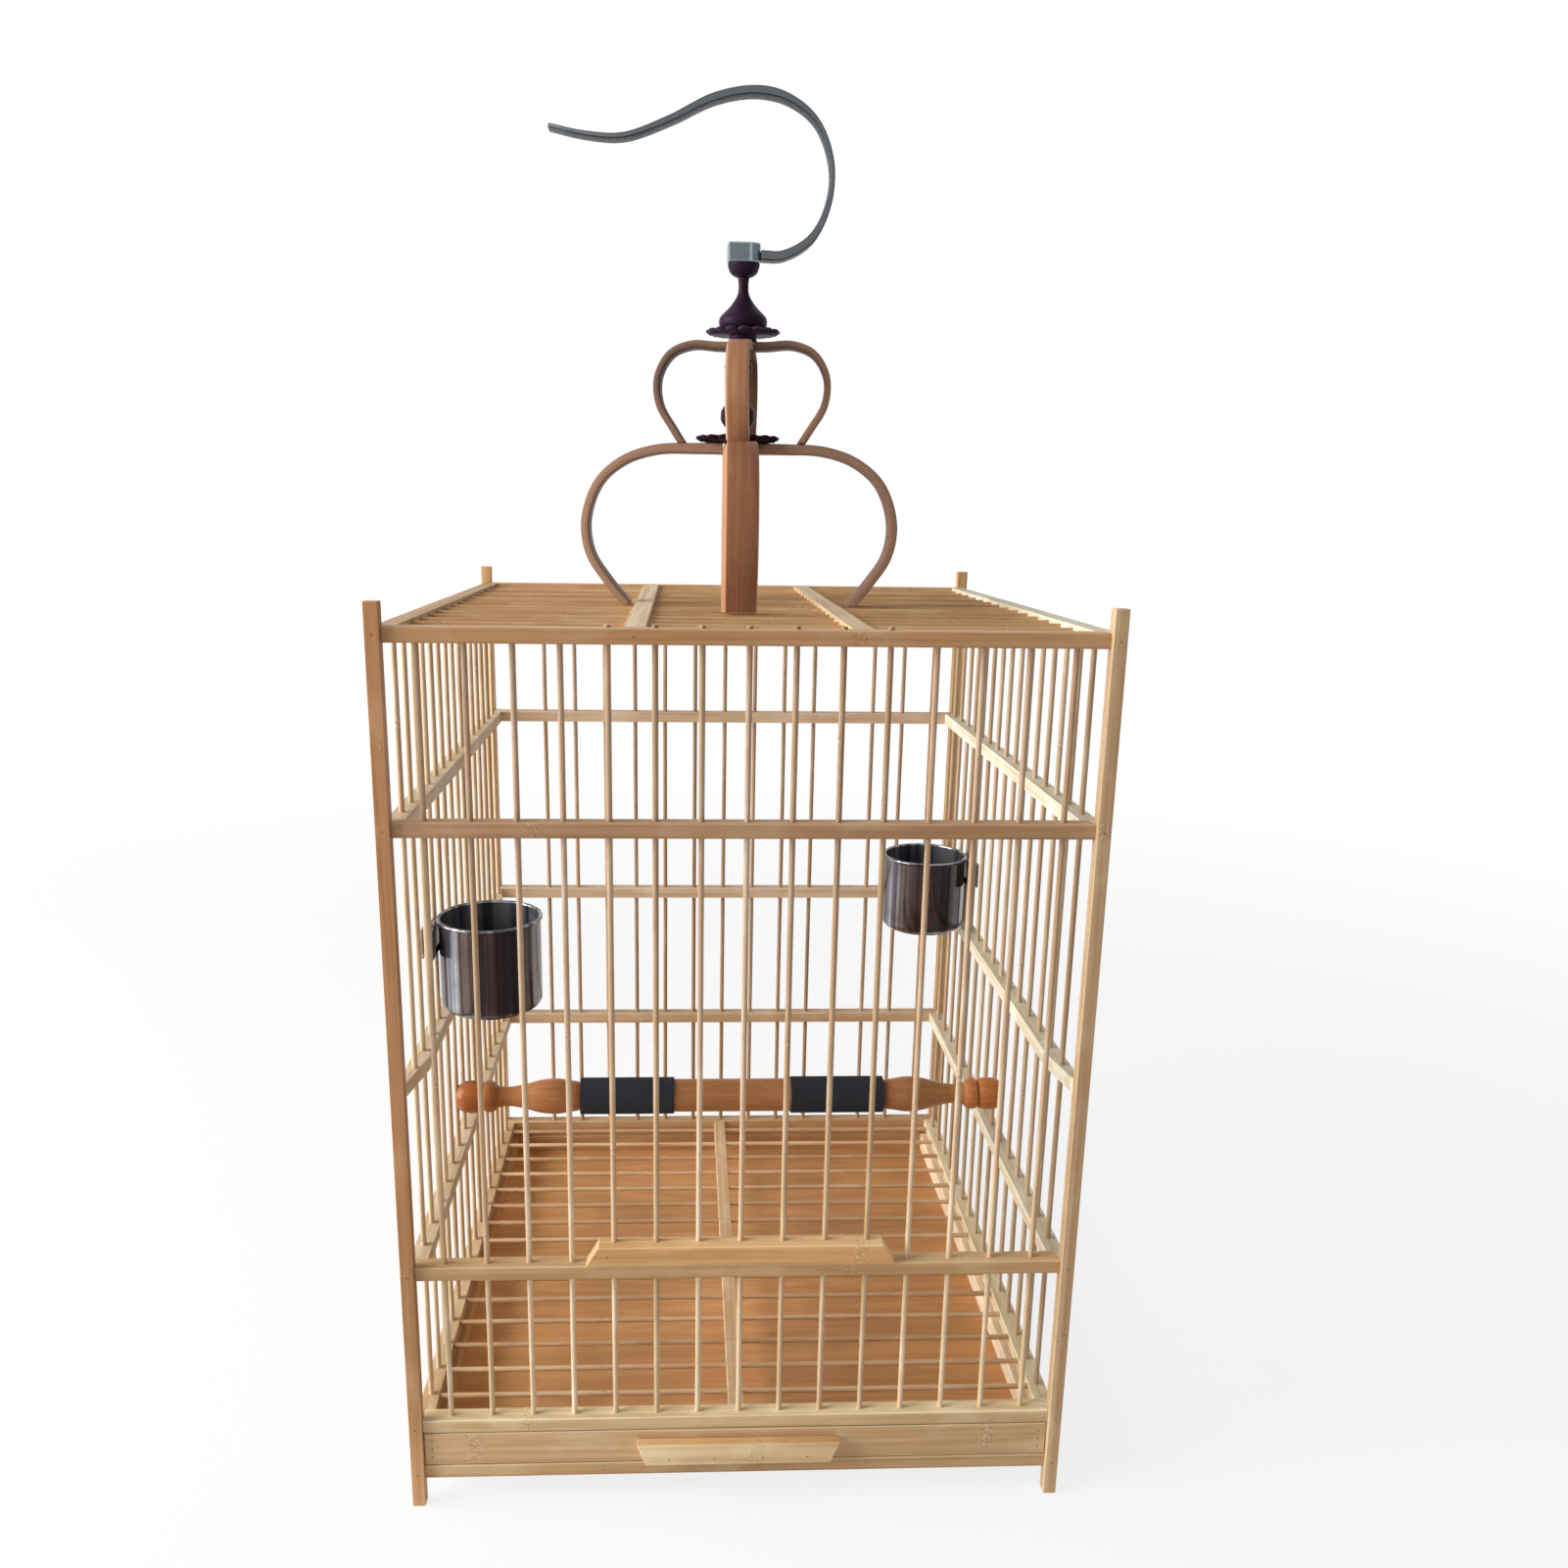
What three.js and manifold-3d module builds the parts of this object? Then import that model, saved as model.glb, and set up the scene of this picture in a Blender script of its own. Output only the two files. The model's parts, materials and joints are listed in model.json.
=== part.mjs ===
// Square bamboo birdcage with a sliding door, a pull-out drawer and a swivelling hook.
// Millimetres, +Z up, front towards -Y, origin on the floor under the middle of the cage.
import * as THREE from 'three';
import { mergeVertices } from 'three/addons/utils/BufferGeometryUtils.js';
import Module from 'manifold-3d';

const wasm = await Module();
wasm.setup();

// Driving dimensions of the cage box
const cageWidth = 340;
const cageDepth = 347;
const postHeight = 467;
const postSide = 6.8;
const railHeight = 7.3;
const railDepth = 9.2;
const railSetBack = 2.8;
const barRadius = 1.65;
const barPitch = 21.3;
const doorBarCount = 7;
const fitGap = 0.3;
const cutOverrun = 1;

// Heights of the underside of each row of rails
const baseRailFoot = 15;
const floorRailFoot = 42.2;
const lowRailFoot = 130.8;
const waistRailFoot = 229.2;
const upperRailFoot = 359.8;
const topRailFoot = 448.8;

// How deep bars sit in the rails that end them
const seatDepth = 4;
const floorSeatDepth = 2;
const barSides = 6;

// Door ledge and drawer
const ledgeHeight = 10.8;
const ledgeFootOverhang = 14.3;
const ledgeTopOverhang = 7.7;
const ledgeDepth = 8.7;
const ledgeProud = 1.6;
const doorBarProud = 1.4;
const drawerBoardThickness = 5.8;
const drawerHandleThickness = 6;
const drawerHandleTopHalf = 52.6;
const drawerHandleFootHalf = 48.2;
const drawerHandleRise = 2.5;
const drawerHandleHeight = 11.6;
const trayHeight = 15;
const trayBoard = 3;
const trayMargin = 0.8;
const runnerReach = 8.2;

// Floor grille and roof grille
const beamWidth = 8;
const beamHeight = 6;
const beamOffset = -1;
const floorBarDrop = 1.9;
const roofBarDrop = 2.8;
const stripWidth = 10;
const stripHeight = 4.6;
const stripOffset = 52;

// Perch, its turned ends as shares of the bare end and of the dowel's radius
const perchHeight = 169.5;
const perchBarCountFromMiddle = -2;
const perchPastBars = 0.6;
const sleeveStart = 34.5;
const sleeveEnd = 89.7;
const sleeveRadius = 10.7;
const sleeveBore = 9.9;
const dowelRadius = 9.6;
const perchSegments = 14;
const perchEndShares = [
  [0.012, 0.8],
  [0.086, 0.96],
  [0.2, 1.08],
  [0.33, 0.98],
  [0.44, 0.75],
  [0.55, 0.59],
  [0.645, 0.64],
  [0.725, 0.81],
  [0.78, 0.96],
  [0.8, 0.79],
  [0.825, 0.92],
  [0.89, 0.99],
  [0.955, 0.91],
  [0.99, 0.69],
];

// Food and water cups with their clips, each clip in the middle of a gap between two bars
const cupRadius = 26.6;
const cupHeight = 50;
const cupWall = 1.2;
const cupRimRadius = 27.7;
const cupCorner = 5;
const cupFromClip = 0.5;
const cupSegments = 22;
const leftCupGapCountFromFront = 2;
const leftCupRim = 299;
const rightCupGapCountFromBack = 3;
const rightCupRim = 287;
const clipPlate = 1.2;
const clipInnerHalfWidth = 20;
const clipOuterHalfWidth = 14;
const clipHeight = 16;
const clipFromBars = 2.2;
const clipDrop = 5;
const clipBridgeHalfWidth = 5;
const clipBridgeHeight = 5;
const lugHalfWidth = 6;
const lugTabNear = 0.6;
const lugTabFar = 1.8;
const lugLength = 8.5;
const lugBridgeDrop = 3.3;

// Carrying hoops: half of each centreline as shares of its half span and its height
const lowerHoop = {
  height: 85.15,
  halfSpan: 86.2,
  thickness: 5.8,
  legThickness: 4.4,
  width: 18.8,
  shift: 1.5,
  turn: -2,
  lineShares: [
    [0, 1],
    [0.29, 1],
    [0.535, 0.99],
    [0.75, 0.92],
    [0.915, 0.777],
    [1, 0.537],
    [0.974, 0.326],
    [0.868, 0.155],
    [0.68, -0.073],
  ],
};
const upperHoop = {
  height: 50.6,
  halfSpan: 46.4,
  thickness: 4.4,
  legThickness: 3.8,
  width: 12.6,
  shift: 2.2,
  turn: -6,
  lineShares: [
    [0, 1],
    [0.28, 1],
    [0.6, 1.012],
    [0.85, 0.917],
    [1, 0.68],
    [0.983, 0.403],
    [0.82, 0.146],
    [0.647, -0.095],
  ],
};
const hoopStations = 18;

// Turned pieces on the axis, their outlines as shares of radius and height
const turnedSegments = 20;
const crownDiscRadius = 23.3;
const crownDiscHeight = 4;
const petalDiscRadius = 20.4;
const petalDiscHeight = 3.4;
const petalHubRadius = 8;
const petalHubHeight = 3;
const discLobes = 8;
const lobeSegments = 32;
const lobeShare = 0.08;
const stemRadius = 9.5;
const stemShares = [
  [0.67, 0],
  [0.57, 0.06],
  [0.99, 0.174],
  [1, 0.288],
  [0.57, 0.402],
  [0.57, 0.733],
  [0.8, 0.779],
  [0.8, 0.833],
  [0.57, 0.879],
  [0.63, 1],
];
const bellRadius = 13.2;
const bellHeight = 32.9;
const bellShares = [
  [0.93, 0],
  [1, 0.09],
  [0.94, 0.19],
  [0.65, 0.31],
  [0.42, 0.425],
  [0.295, 0.56],
  [0.26, 0.76],
  [0.485, 0.85],
  [0.64, 0.935],
  [0.64, 1],
];
const pinRadius = 1.6;
const pinBoreRadius = 1.9;
const pinLength = 10;
const pinBoreDepth = 12;

// Hook head and flat-bar hook, its centreline as shares of its rise above its root
const headWidth = 17.6;
const headDepth = 12.5;
const headHeight = 10.2;
const headCorner = 2;
const headFacetWidth = 5.2;
const headFacetDepth = 1.3;
const hookWidth = 11;
const hookRise = 80;
const hookRootHeight = 3.8;
const hookStations = 40;
const hookLineShares = [
  [0.26, 0.003],
  [0.4475, 0.11],
  [0.5575, 0.32],
  [0.575, 0.57],
  [0.4725, 0.82],
  [0.285, 0.9575],
  [0.0725, 1],
  [-0.2025, 0.9525],
  [-0.5025, 0.814],
  [-0.8025, 0.71],
  [-1.0525, 0.715],
  [-1.29, 0.7575],
];
const hookRootThickness = 4.9;
const hookThicknessShares = [1, 0.86, 0.49, 0.53, 0.86, 0.82, 0.65, 0.53, 0.41];

// Places worked out from the driving dimensions
const halfWidth = cageWidth / 2;
const halfDepth = cageDepth / 2;
const postInnerX = halfWidth - postSide;
const postInnerY = halfDepth - postSide;
const railOuterX = halfWidth - railSetBack;
const railOuterY = halfDepth - railSetBack;
const railInnerX = railOuterX - railDepth;
const railInnerY = railOuterY - railDepth;
const barLineX = railOuterX - railDepth / 2;
const barLineY = railOuterY - railDepth / 2;
const baseRailTop = baseRailFoot + railHeight;
const floorRailTop = floorRailFoot + railHeight;
const lowRailTop = lowRailFoot + railHeight;
const frontRailHalf = postInnerX - fitGap;
const topRailTop = topRailFoot + railHeight;
const doorHalf = (doorBarCount - 1) * barPitch / 2;
const roofBarHeight = topRailTop - roofBarDrop;
const cupFromMiddle = barLineX - clipFromBars - clipPlate - cupFromClip - cupRimRadius;
const drawerFoot = baseRailTop + fitGap;
const drawerTop = floorRailFoot - fitGap;

// Colours from the photograph
const paleBamboo = 0xc9a374;
const brownBamboo = 0x9a6f4b;
const stripBamboo = 0xcbb893;
const trayWood = 0x98633a;
const turnedWood = 0xa2643a;
const darkWood = 0x3d2733;
const sandpaper = 0x22272c;
const steel = 0x6f7378;
const greyMetal = 0x626a6d;

const cage = new THREE.Group();

function addPiece(name, geometry, color, roughness, metalness = 0) {
  const material = new THREE.MeshStandardMaterial({ color, roughness, metalness });
  const piece = new THREE.Mesh(geometry, material);
  piece.name = name;
  cage.add(piece);
}

// Solid joins and cuts
function toSolid(geometry) {
  const bare = geometry.clone();
  bare.deleteAttribute('normal');
  bare.deleteAttribute('uv');
  const welded = mergeVertices(bare);
  const vertProperties = new Float32Array(welded.attributes.position.array);
  const triVerts = new Uint32Array(welded.index.array);
  return new wasm.Manifold(new wasm.Mesh({ numProp: 3, vertProperties, triVerts }));
}

function toGeometry(solid) {
  const mesh = solid.getMesh();
  const geometry = new THREE.BufferGeometry();
  geometry.setAttribute('position', new THREE.BufferAttribute(mesh.vertProperties, 3));
  geometry.setIndex(new THREE.BufferAttribute(mesh.triVerts, 1));
  return geometry;
}

function joined(geometries) {
  return toGeometry(geometries.map(toSolid).reduce((whole, next) => whole.add(next)));
}

function cut(geometry, tools) {
  return toGeometry(tools.map(toSolid).reduce((whole, tool) => whole.subtract(tool), toSolid(geometry)));
}

// Simple solids between two corners, and bars along Z or X
function block(x0, x1, y0, y1, z0, z1) {
  const geometry = new THREE.BoxGeometry(x1 - x0, y1 - y0, z1 - z0);
  geometry.translate((x0 + x1) / 2, (y0 + y1) / 2, (z0 + z1) / 2);
  return geometry;
}

function uprightRod(x, y, z0, z1, radius) {
  const rod = new THREE.CylinderGeometry(radius, radius, z1 - z0, barSides);
  rod.rotateX(Math.PI / 2);
  rod.translate(x, y, (z0 + z1) / 2);
  return rod;
}

function crossRod(y, z, x0, x1, radius) {
  const rod = new THREE.CylinderGeometry(radius, radius, x1 - x0, barSides);
  rod.rotateZ(Math.PI / 2);
  rod.translate((x0 + x1) / 2, y, z);
  return rod;
}

// Bars stand at equal steps either side of the middle, as many as fit between the posts
function barPlaces(stepsEachWay) {
  const steps = Array.from({ length: 2 * stepsEachWay + 1 }, (_, index) => index - stepsEachWay);
  return steps.map((step) => step * barPitch);
}

const frontSteps = Math.floor(postInnerX / barPitch);
const sideSteps = Math.floor(postInnerY / barPitch);
const doorSteps = (doorBarCount - 1) / 2;
const frontBars = barPlaces(frontSteps);
const sideBars = barPlaces(sideSteps);
const doorBars = barPlaces(doorSteps);
const fixedFrontBars = frontBars.filter((x) => !doorBars.includes(x));
const holeRadius = (barRadius + fitGap) / Math.cos(Math.PI / barSides);

// A wall is one of the four sides: where its bars stand and how its rails lie
function wallPlace(wall, along) {
  const places = {
    front: [along, -barLineY],
    back: [along, barLineY],
    left: [-barLineX, along],
    right: [barLineX, along],
  };
  return places[wall];
}

function liesAlongX(wall) {
  return wall === 'front' || wall === 'back';
}

function barsIn(wall) {
  return liesAlongX(wall) ? frontBars : sideBars;
}

function railPlan(wall) {
  if (liesAlongX(wall)) {
    const sign = wall === 'front' ? -1 : 1;
    return [
      [-frontRailHalf, sign * railOuterY],
      [frontRailHalf, sign * railOuterY],
      [frontRailHalf, sign * railInnerY],
      [-frontRailHalf, sign * railInnerY],
    ];
  }
  const sign = wall === 'left' ? -1 : 1;
  const longEnd = postInnerY - fitGap;
  const shortEnd = railInnerY - fitGap;
  return [
    [sign * railInnerX, -shortEnd],
    [sign * postInnerX, -shortEnd],
    [sign * postInnerX, -longEnd],
    [sign * railOuterX, -longEnd],
    [sign * railOuterX, longEnd],
    [sign * postInnerX, longEnd],
    [sign * postInnerX, shortEnd],
    [sign * railInnerX, shortEnd],
  ];
}

function plainRail(wall, foot) {
  const shape = new THREE.Shape(railPlan(wall).map(([x, y]) => new THREE.Vector2(x, y)));
  const geometry = new THREE.ExtrudeGeometry(shape, { depth: railHeight, bevelEnabled: false });
  geometry.translate(0, 0, foot);
  return geometry;
}

function holeTools(wall, places, z0, z1) {
  return places.map((along) => {
    const [x, y] = wallPlace(wall, along);
    return uprightRod(x, y, z0, z1, holeRadius);
  });
}

function drilledRail(wall, foot, places) {
  return cut(plainRail(wall, foot), holeTools(wall, places, foot - cutOverrun, foot + railHeight + cutOverrun));
}

function barsOf(wall, places, z0, z1) {
  return places.map((along) => {
    const [x, y] = wallPlace(wall, along);
    return uprightRod(x, y, z0, z1, barRadius);
  });
}

// Posts, top rails and floor rails
function addPosts() {
  for (const [side, sx] of [['left', -1], ['right', 1]]) {
    for (const [end, sy] of [['front', -1], ['back', 1]]) {
      const xs = [sx * postInnerX, sx * halfWidth].sort((a, b) => a - b);
      const ys = [sy * postInnerY, sy * halfDepth].sort((a, b) => a - b);
      const post = block(xs[0], xs[1], ys[0], ys[1], 0, postHeight);
      addPiece(`post_${end}_${side}`, post, paleBamboo, 0.5);
    }
  }
}

function addTopRails() {
  const seatTop = topRailFoot + seatDepth + fitGap;
  for (const wall of ['front', 'back', 'left', 'right']) {
    const fixed = wall === 'front' ? fixedFrontBars : barsIn(wall);
    const tools = holeTools(wall, fixed, topRailFoot - cutOverrun, seatTop);
    if (wall === 'front') {
      tools.push(...holeTools(wall, doorBars, topRailFoot - cutOverrun, topRailTop + cutOverrun));
    }
    addPiece(`top_rail_${wall}`, cut(plainRail(wall, topRailFoot), tools), paleBamboo, 0.5);
  }
}

function addFloorRails() {
  const seatFoot = floorRailTop - floorSeatDepth - fitGap;
  for (const wall of ['front', 'back', 'left', 'right']) {
    const tools = holeTools(wall, barsIn(wall), seatFoot, floorRailTop + cutOverrun);
    addPiece(`floor_rail_${wall}`, cut(plainRail(wall, floorRailFoot), tools), paleBamboo, 0.5);
  }
}

// Back and side walls: bars glued in the waist rail, with two more rails threaded on them
function addBarWall(wall) {
  const barFoot = floorRailTop - floorSeatDepth;
  const barTop = topRailFoot + seatDepth;
  const comb = joined([plainRail(wall, waistRailFoot), ...barsOf(wall, barsIn(wall), barFoot, barTop)]);
  addPiece(`${wall}_bars_and_waist_rail`, comb, paleBamboo, 0.5);
  addPiece(`upper_rail_${wall}`, drilledRail(wall, upperRailFoot, barsIn(wall)), paleBamboo, 0.5);
  addPiece(`low_rail_${wall}`, drilledRail(wall, lowRailFoot, barsIn(wall)), paleBamboo, 0.5);
}

// Front wall: eight long bars, an upper rail, a low rail that holds the short bars
function addFrontWall() {
  const barFoot = floorRailTop - floorSeatDepth;
  const barTop = topRailFoot + seatDepth;
  fixedFrontBars.forEach((x, index) => {
    const bar = uprightRod(x, -barLineY, barFoot, barTop, barRadius);
    addPiece(`front_bar_${index + 1}`, bar, paleBamboo, 0.5);
  });
  addPiece('upper_rail_front', drilledRail('front', upperRailFoot, frontBars), paleBamboo, 0.5);
  const lowRail = drilledRail('front', lowRailFoot, fixedFrontBars);
  const shortBars = barsOf('front', doorBars, barFoot, lowRailFoot + railHeight / 2);
  addPiece('low_rail_front_with_short_bars', joined([lowRail, ...shortBars]), paleBamboo, 0.5);
}

// Sliding door: seven bars in a sloped-end ledge that rests on the low rail
function wedgeBoard(footHalf, topHalf, z0, z1, y0, y1) {
  const shape = new THREE.Shape([
    new THREE.Vector2(-footHalf, z0),
    new THREE.Vector2(footHalf, z0),
    new THREE.Vector2(topHalf, z1),
    new THREE.Vector2(-topHalf, z1),
  ]);
  const board = new THREE.ExtrudeGeometry(shape, { depth: y1 - y0, bevelEnabled: false });
  board.rotateX(Math.PI / 2);
  board.translate(0, y1, 0);
  return board;
}

function addDoor() {
  const foot = lowRailTop + fitGap;
  const top = foot + ledgeHeight;
  const front = -railOuterY - ledgeProud;
  const footHalf = doorHalf + ledgeFootOverhang;
  const topHalf = doorHalf + ledgeTopOverhang;
  const ledge = wedgeBoard(footHalf, topHalf, foot, top, front, front + ledgeDepth);
  const bars = barsOf('front', doorBars, foot + ledgeHeight / 2, topRailTop + doorBarProud);
  addPiece('sliding_door', joined([ledge, ...bars]), paleBamboo, 0.5);
}

// Base: front rail, back board and two side boards with runners for the drawer
function addBase() {
  addPiece('base_rail_front', plainRail('front', baseRailFoot), paleBamboo, 0.5);
  const backFront = railOuterY - drawerBoardThickness;
  const backBoard = block(-frontRailHalf, frontRailHalf, backFront, railOuterY, baseRailFoot, drawerTop);
  addPiece('base_board_back', backBoard, paleBamboo, 0.5);
  for (const [side, sign] of [['left', -1], ['right', 1]]) {
    const boardXs = [sign * postInnerX, sign * railOuterX].sort((a, b) => a - b);
    const runnerXs = [sign * (postInnerX - runnerReach), sign * railOuterX].sort((a, b) => a - b);
    const boardEnd = postInnerY - fitGap;
    const runnerEnd = railInnerY - fitGap;
    const board = block(boardXs[0], boardXs[1], -boardEnd, boardEnd, baseRailFoot, drawerTop);
    const runner = block(runnerXs[0], runnerXs[1], -runnerEnd, runnerEnd, baseRailFoot, baseRailTop);
    addPiece(`base_board_${side}`, joined([board, runner]), paleBamboo, 0.5);
  }
}

// Drawer: a shallow tray behind a front board with a sloped-end handle
function addDrawer() {
  const boardBack = -railOuterY + drawerBoardThickness;
  const front = block(-frontRailHalf, frontRailHalf, -railOuterY, boardBack, drawerFoot, drawerTop);
  addPiece('drawer_front', front, paleBamboo, 0.5);
  const trayHalf = postInnerX - trayMargin;
  const trayFront = boardBack + fitGap;
  const trayBack = railOuterY - drawerBoardThickness - trayMargin;
  const trayTop = drawerFoot + trayHeight;
  const outside = block(-trayHalf, trayHalf, trayFront, trayBack, drawerFoot, trayTop);
  const inside = block(
    -trayHalf + trayBoard,
    trayHalf - trayBoard,
    trayFront + trayBoard,
    trayBack - trayBoard,
    drawerFoot + trayBoard,
    trayTop + cutOverrun,
  );
  addPiece('drawer_tray', cut(outside, [inside]), trayWood, 0.55);
  const handleBack = -railOuterY - fitGap;
  const handleFoot = drawerFoot + drawerHandleRise;
  const handle = wedgeBoard(
    drawerHandleFootHalf,
    drawerHandleTopHalf,
    handleFoot,
    handleFoot + drawerHandleHeight,
    handleBack - drawerHandleThickness,
    handleBack,
  );
  addPiece('drawer_handle', handle, paleBamboo, 0.5);
}

// Floor grille on a middle beam, and roof grille on two cross strips
function addFloorGrille() {
  const end = railInnerX - fitGap;
  const beamEnd = railInnerY - fitGap;
  const beamTop = floorRailTop - fitGap;
  const beam = block(-beamWidth / 2, beamWidth / 2, -beamEnd, beamEnd, beamTop - beamHeight, beamTop);
  beam.translate(beamOffset, 0, 0);
  const bars = sideBars.map((y) => crossRod(y, floorRailTop - floorBarDrop, -end, end, barRadius));
  addPiece('floor_grille', joined([beam, ...bars]), paleBamboo, 0.5);
}

function addRoofGrille() {
  const end = railInnerX - fitGap;
  const stripEnd = railInnerY - fitGap;
  const bars = sideBars.map((y) => crossRod(y, roofBarHeight, -end, end, barRadius));
  const half = stripWidth / 2;
  const stripFoot = topRailTop - stripHeight;
  const strips = [-stripOffset, stripOffset].map((x) =>
    block(x - half, x + half, -stripEnd, stripEnd, stripFoot, topRailTop),
  );
  addPiece('roof_grille', joined([...strips, ...bars]), stripBamboo, 0.55);
}

// Perch: a turned dowel whose slotted ends straddle one bar in each side wall
function turnedAlongX(profile, segments) {
  const points = profile.map(([along, radius]) => new THREE.Vector2(radius, along));
  const geometry = new THREE.LatheGeometry(points, segments);
  geometry.rotateZ(-Math.PI / 2);
  return geometry;
}

function addPerch() {
  const y = perchBarCountFromMiddle * barPitch;
  const halfLength = barLineX + perchPastBars;
  const bareEnd = halfLength - sleeveEnd;
  const turnedEnd = perchEndShares.map(([along, radius]) => [sleeveEnd + along * bareEnd, radius * dowelRadius]);
  const rightHalf = [[0, dowelRadius], [sleeveEnd, dowelRadius], ...turnedEnd];
  const leftHalf = rightHalf.slice(1).reverse().map(([along, radius]) => [-along, radius]);
  const profile = [
    [-halfLength, 0],
    ...leftHalf,
    ...rightHalf.slice(1),
    [halfLength, 0],
  ];
  const dowel = turnedAlongX(profile, perchSegments);
  const slotFloor = barLineX - barRadius - fitGap;
  const slotHalf = barRadius + fitGap;
  const slots = [-1, 1].map((sign) => {
    const xs = [sign * slotFloor, sign * (halfLength + cutOverrun)].sort((a, b) => a - b);
    return block(xs[0], xs[1], -slotHalf, slotHalf, -sleeveRadius, sleeveRadius);
  });
  const perch = cut(dowel, slots);
  perch.translate(0, y, perchHeight);
  addPiece('perch', perch, turnedWood, 0.35);
  for (const [side, sign] of [['left', -1], ['right', 1]]) {
    const ring = [
      [sleeveStart, sleeveBore],
      [sleeveStart, sleeveRadius],
      [sleeveEnd, sleeveRadius],
      [sleeveEnd, sleeveBore],
      [sleeveStart, sleeveBore],
    ];
    const sleeve = turnedAlongX(ring, perchSegments);
    if (sign < 0) sleeve.rotateZ(Math.PI);
    sleeve.translate(0, y, perchHeight);
    addPiece(`perch_sleeve_${side}`, sleeve, sandpaper, 0.95);
  }
}

// Cup with a rolled rim and a lug that drops behind its clip
function cupBowl(rim) {
  const foot = rim - cupHeight;
  const inner = cupRadius - cupWall;
  const rimDrop = cupRimRadius - cupRadius;
  const outline = new THREE.Path();
  outline.moveTo(0, foot);
  outline.lineTo(cupRadius - cupCorner, foot);
  outline.absarc(cupRadius - cupCorner, foot + cupCorner, cupCorner, -Math.PI / 2, 0, false);
  outline.lineTo(cupRadius, rim - 2 * rimDrop);
  outline.lineTo(cupRimRadius, rim - rimDrop - rimDrop / 2);
  outline.lineTo(cupRimRadius, rim - rimDrop / 2);
  outline.lineTo(cupRadius, rim);
  outline.lineTo(inner, rim - rimDrop / 2);
  outline.lineTo(inner, foot + cupCorner);
  outline.lineTo(inner - cupCorner / 2, foot + cupWall + cupWall);
  outline.lineTo(inner - cupCorner, foot + cupWall);
  outline.lineTo(0, foot + cupWall);
  const bowl = new THREE.LatheGeometry(outline.getPoints(3), cupSegments);
  bowl.rotateX(Math.PI / 2);
  return bowl;
}

const leftCupY = (leftCupGapCountFromFront - sideSteps) * barPitch + barPitch / 2;
const rightCupY = (sideSteps - rightCupGapCountFromBack) * barPitch - barPitch / 2;

// Distances here run inward from the line of the wall bars
function wallBlock(sign, near, far, y, half, z0, z1) {
  const xs = [sign * (barLineX - near), sign * (barLineX - far)].sort((low, high) => low - high);
  return block(xs[0], xs[1], y - half, y + half, z0, z1);
}

function addCup(side, sign, y, rim) {
  const bowl = cupBowl(rim);
  bowl.translate(sign * cupFromMiddle, y, 0);
  const wallReach = barLineX - cupFromMiddle - cupRadius + cupWall / 2;
  const lugTop = rim - lugBridgeDrop;
  const arm = wallBlock(sign, lugTabNear, wallReach, y, lugHalfWidth, lugTop - clipPlate, lugTop);
  const tab = wallBlock(sign, lugTabNear, lugTabFar, y, lugHalfWidth, lugTop - lugLength, lugTop);
  addPiece(`cup_${side}`, joined([bowl, arm, tab]), steel, 0.22, 1);
}

function addCupClip(side, sign, y, rim) {
  const top = rim - clipDrop;
  const foot = top - clipHeight;
  const far = clipFromBars + clipPlate;
  const plates = [
    wallBlock(sign, clipFromBars, far, y, clipInnerHalfWidth, foot, top),
    wallBlock(sign, -far, -clipFromBars, y, clipOuterHalfWidth, foot, top),
    wallBlock(sign, -far, far, y, clipBridgeHalfWidth, foot, foot + clipBridgeHeight),
  ];
  addPiece(`cup_clip_${side}`, joined(plates), greyMetal, 0.4, 1);
}

// A flat strip bent along a centreline in the XZ plane
function bentStrip(line, stations, width, thicknessAt) {
  const curve = new THREE.CatmullRomCurve3(line.map(([x, z]) => new THREE.Vector3(x, 0, z)));
  const outer = [];
  const inner = [];
  for (let station = 0; station <= stations; station += 1) {
    const share = station / stations;
    const point = curve.getPointAt(share);
    const tangent = curve.getTangentAt(share);
    const half = thicknessAt(share) / 2;
    outer.push(new THREE.Vector2(point.x - tangent.z * half, point.z + tangent.x * half));
    inner.push(new THREE.Vector2(point.x + tangent.z * half, point.z - tangent.x * half));
  }
  const shape = new THREE.Shape([...outer, ...inner.reverse()]);
  const strip = new THREE.ExtrudeGeometry(shape, { depth: width, bevelEnabled: false });
  strip.rotateX(Math.PI / 2);
  strip.translate(0, width / 2, 0);
  return strip;
}

// Two equal hoops cross at the crown in a half-lap and stand on flat-cut feet
function hoopCrown(pair, foot) {
  return foot + pair.height;
}

function addHoopPair(level, pair, foot) {
  const half = pair.lineShares.map(([across, up]) => [across * pair.halfSpan, foot + up * pair.height]);
  const mirrored = half.slice(1).reverse().map(([x, z]) => [-x, z]);
  const crown = hoopCrown(pair, foot);
  const reach = cageWidth / 2;
  const notchHalf = pair.width / 2 + fitGap;
  const slimming = pair.thickness - pair.legThickness;
  const thicknessAt = (share) => pair.thickness - slimming * Math.min(1, 4 * Math.abs(share - 0.5));
  const below = block(-reach, reach, -pair.width, pair.width, foot - reach, foot);
  const strip = bentStrip([...mirrored, ...half], 2 * hoopStations, pair.width, thicknessAt);
  const hoop = cut(strip, [below]);
  const notch = (z0, z1) => block(-notchHalf, notchHalf, -pair.width, pair.width, z0, z1);
  const across = cut(hoop, [notch(crown - fitGap / 2, crown + pair.thickness)]);
  const frontToBack = cut(hoop, [notch(crown - pair.thickness, crown + fitGap / 2)]);
  frontToBack.rotateZ(Math.PI / 2);
  for (const [name, geometry] of [['across', across], ['front_to_back', frontToBack]]) {
    geometry.rotateZ(THREE.MathUtils.degToRad(pair.turn));
    geometry.translate(pair.shift, 0, 0);
    addPiece(`${level}_hoop_${name}`, geometry, brownBamboo, 0.5);
  }
}

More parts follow.
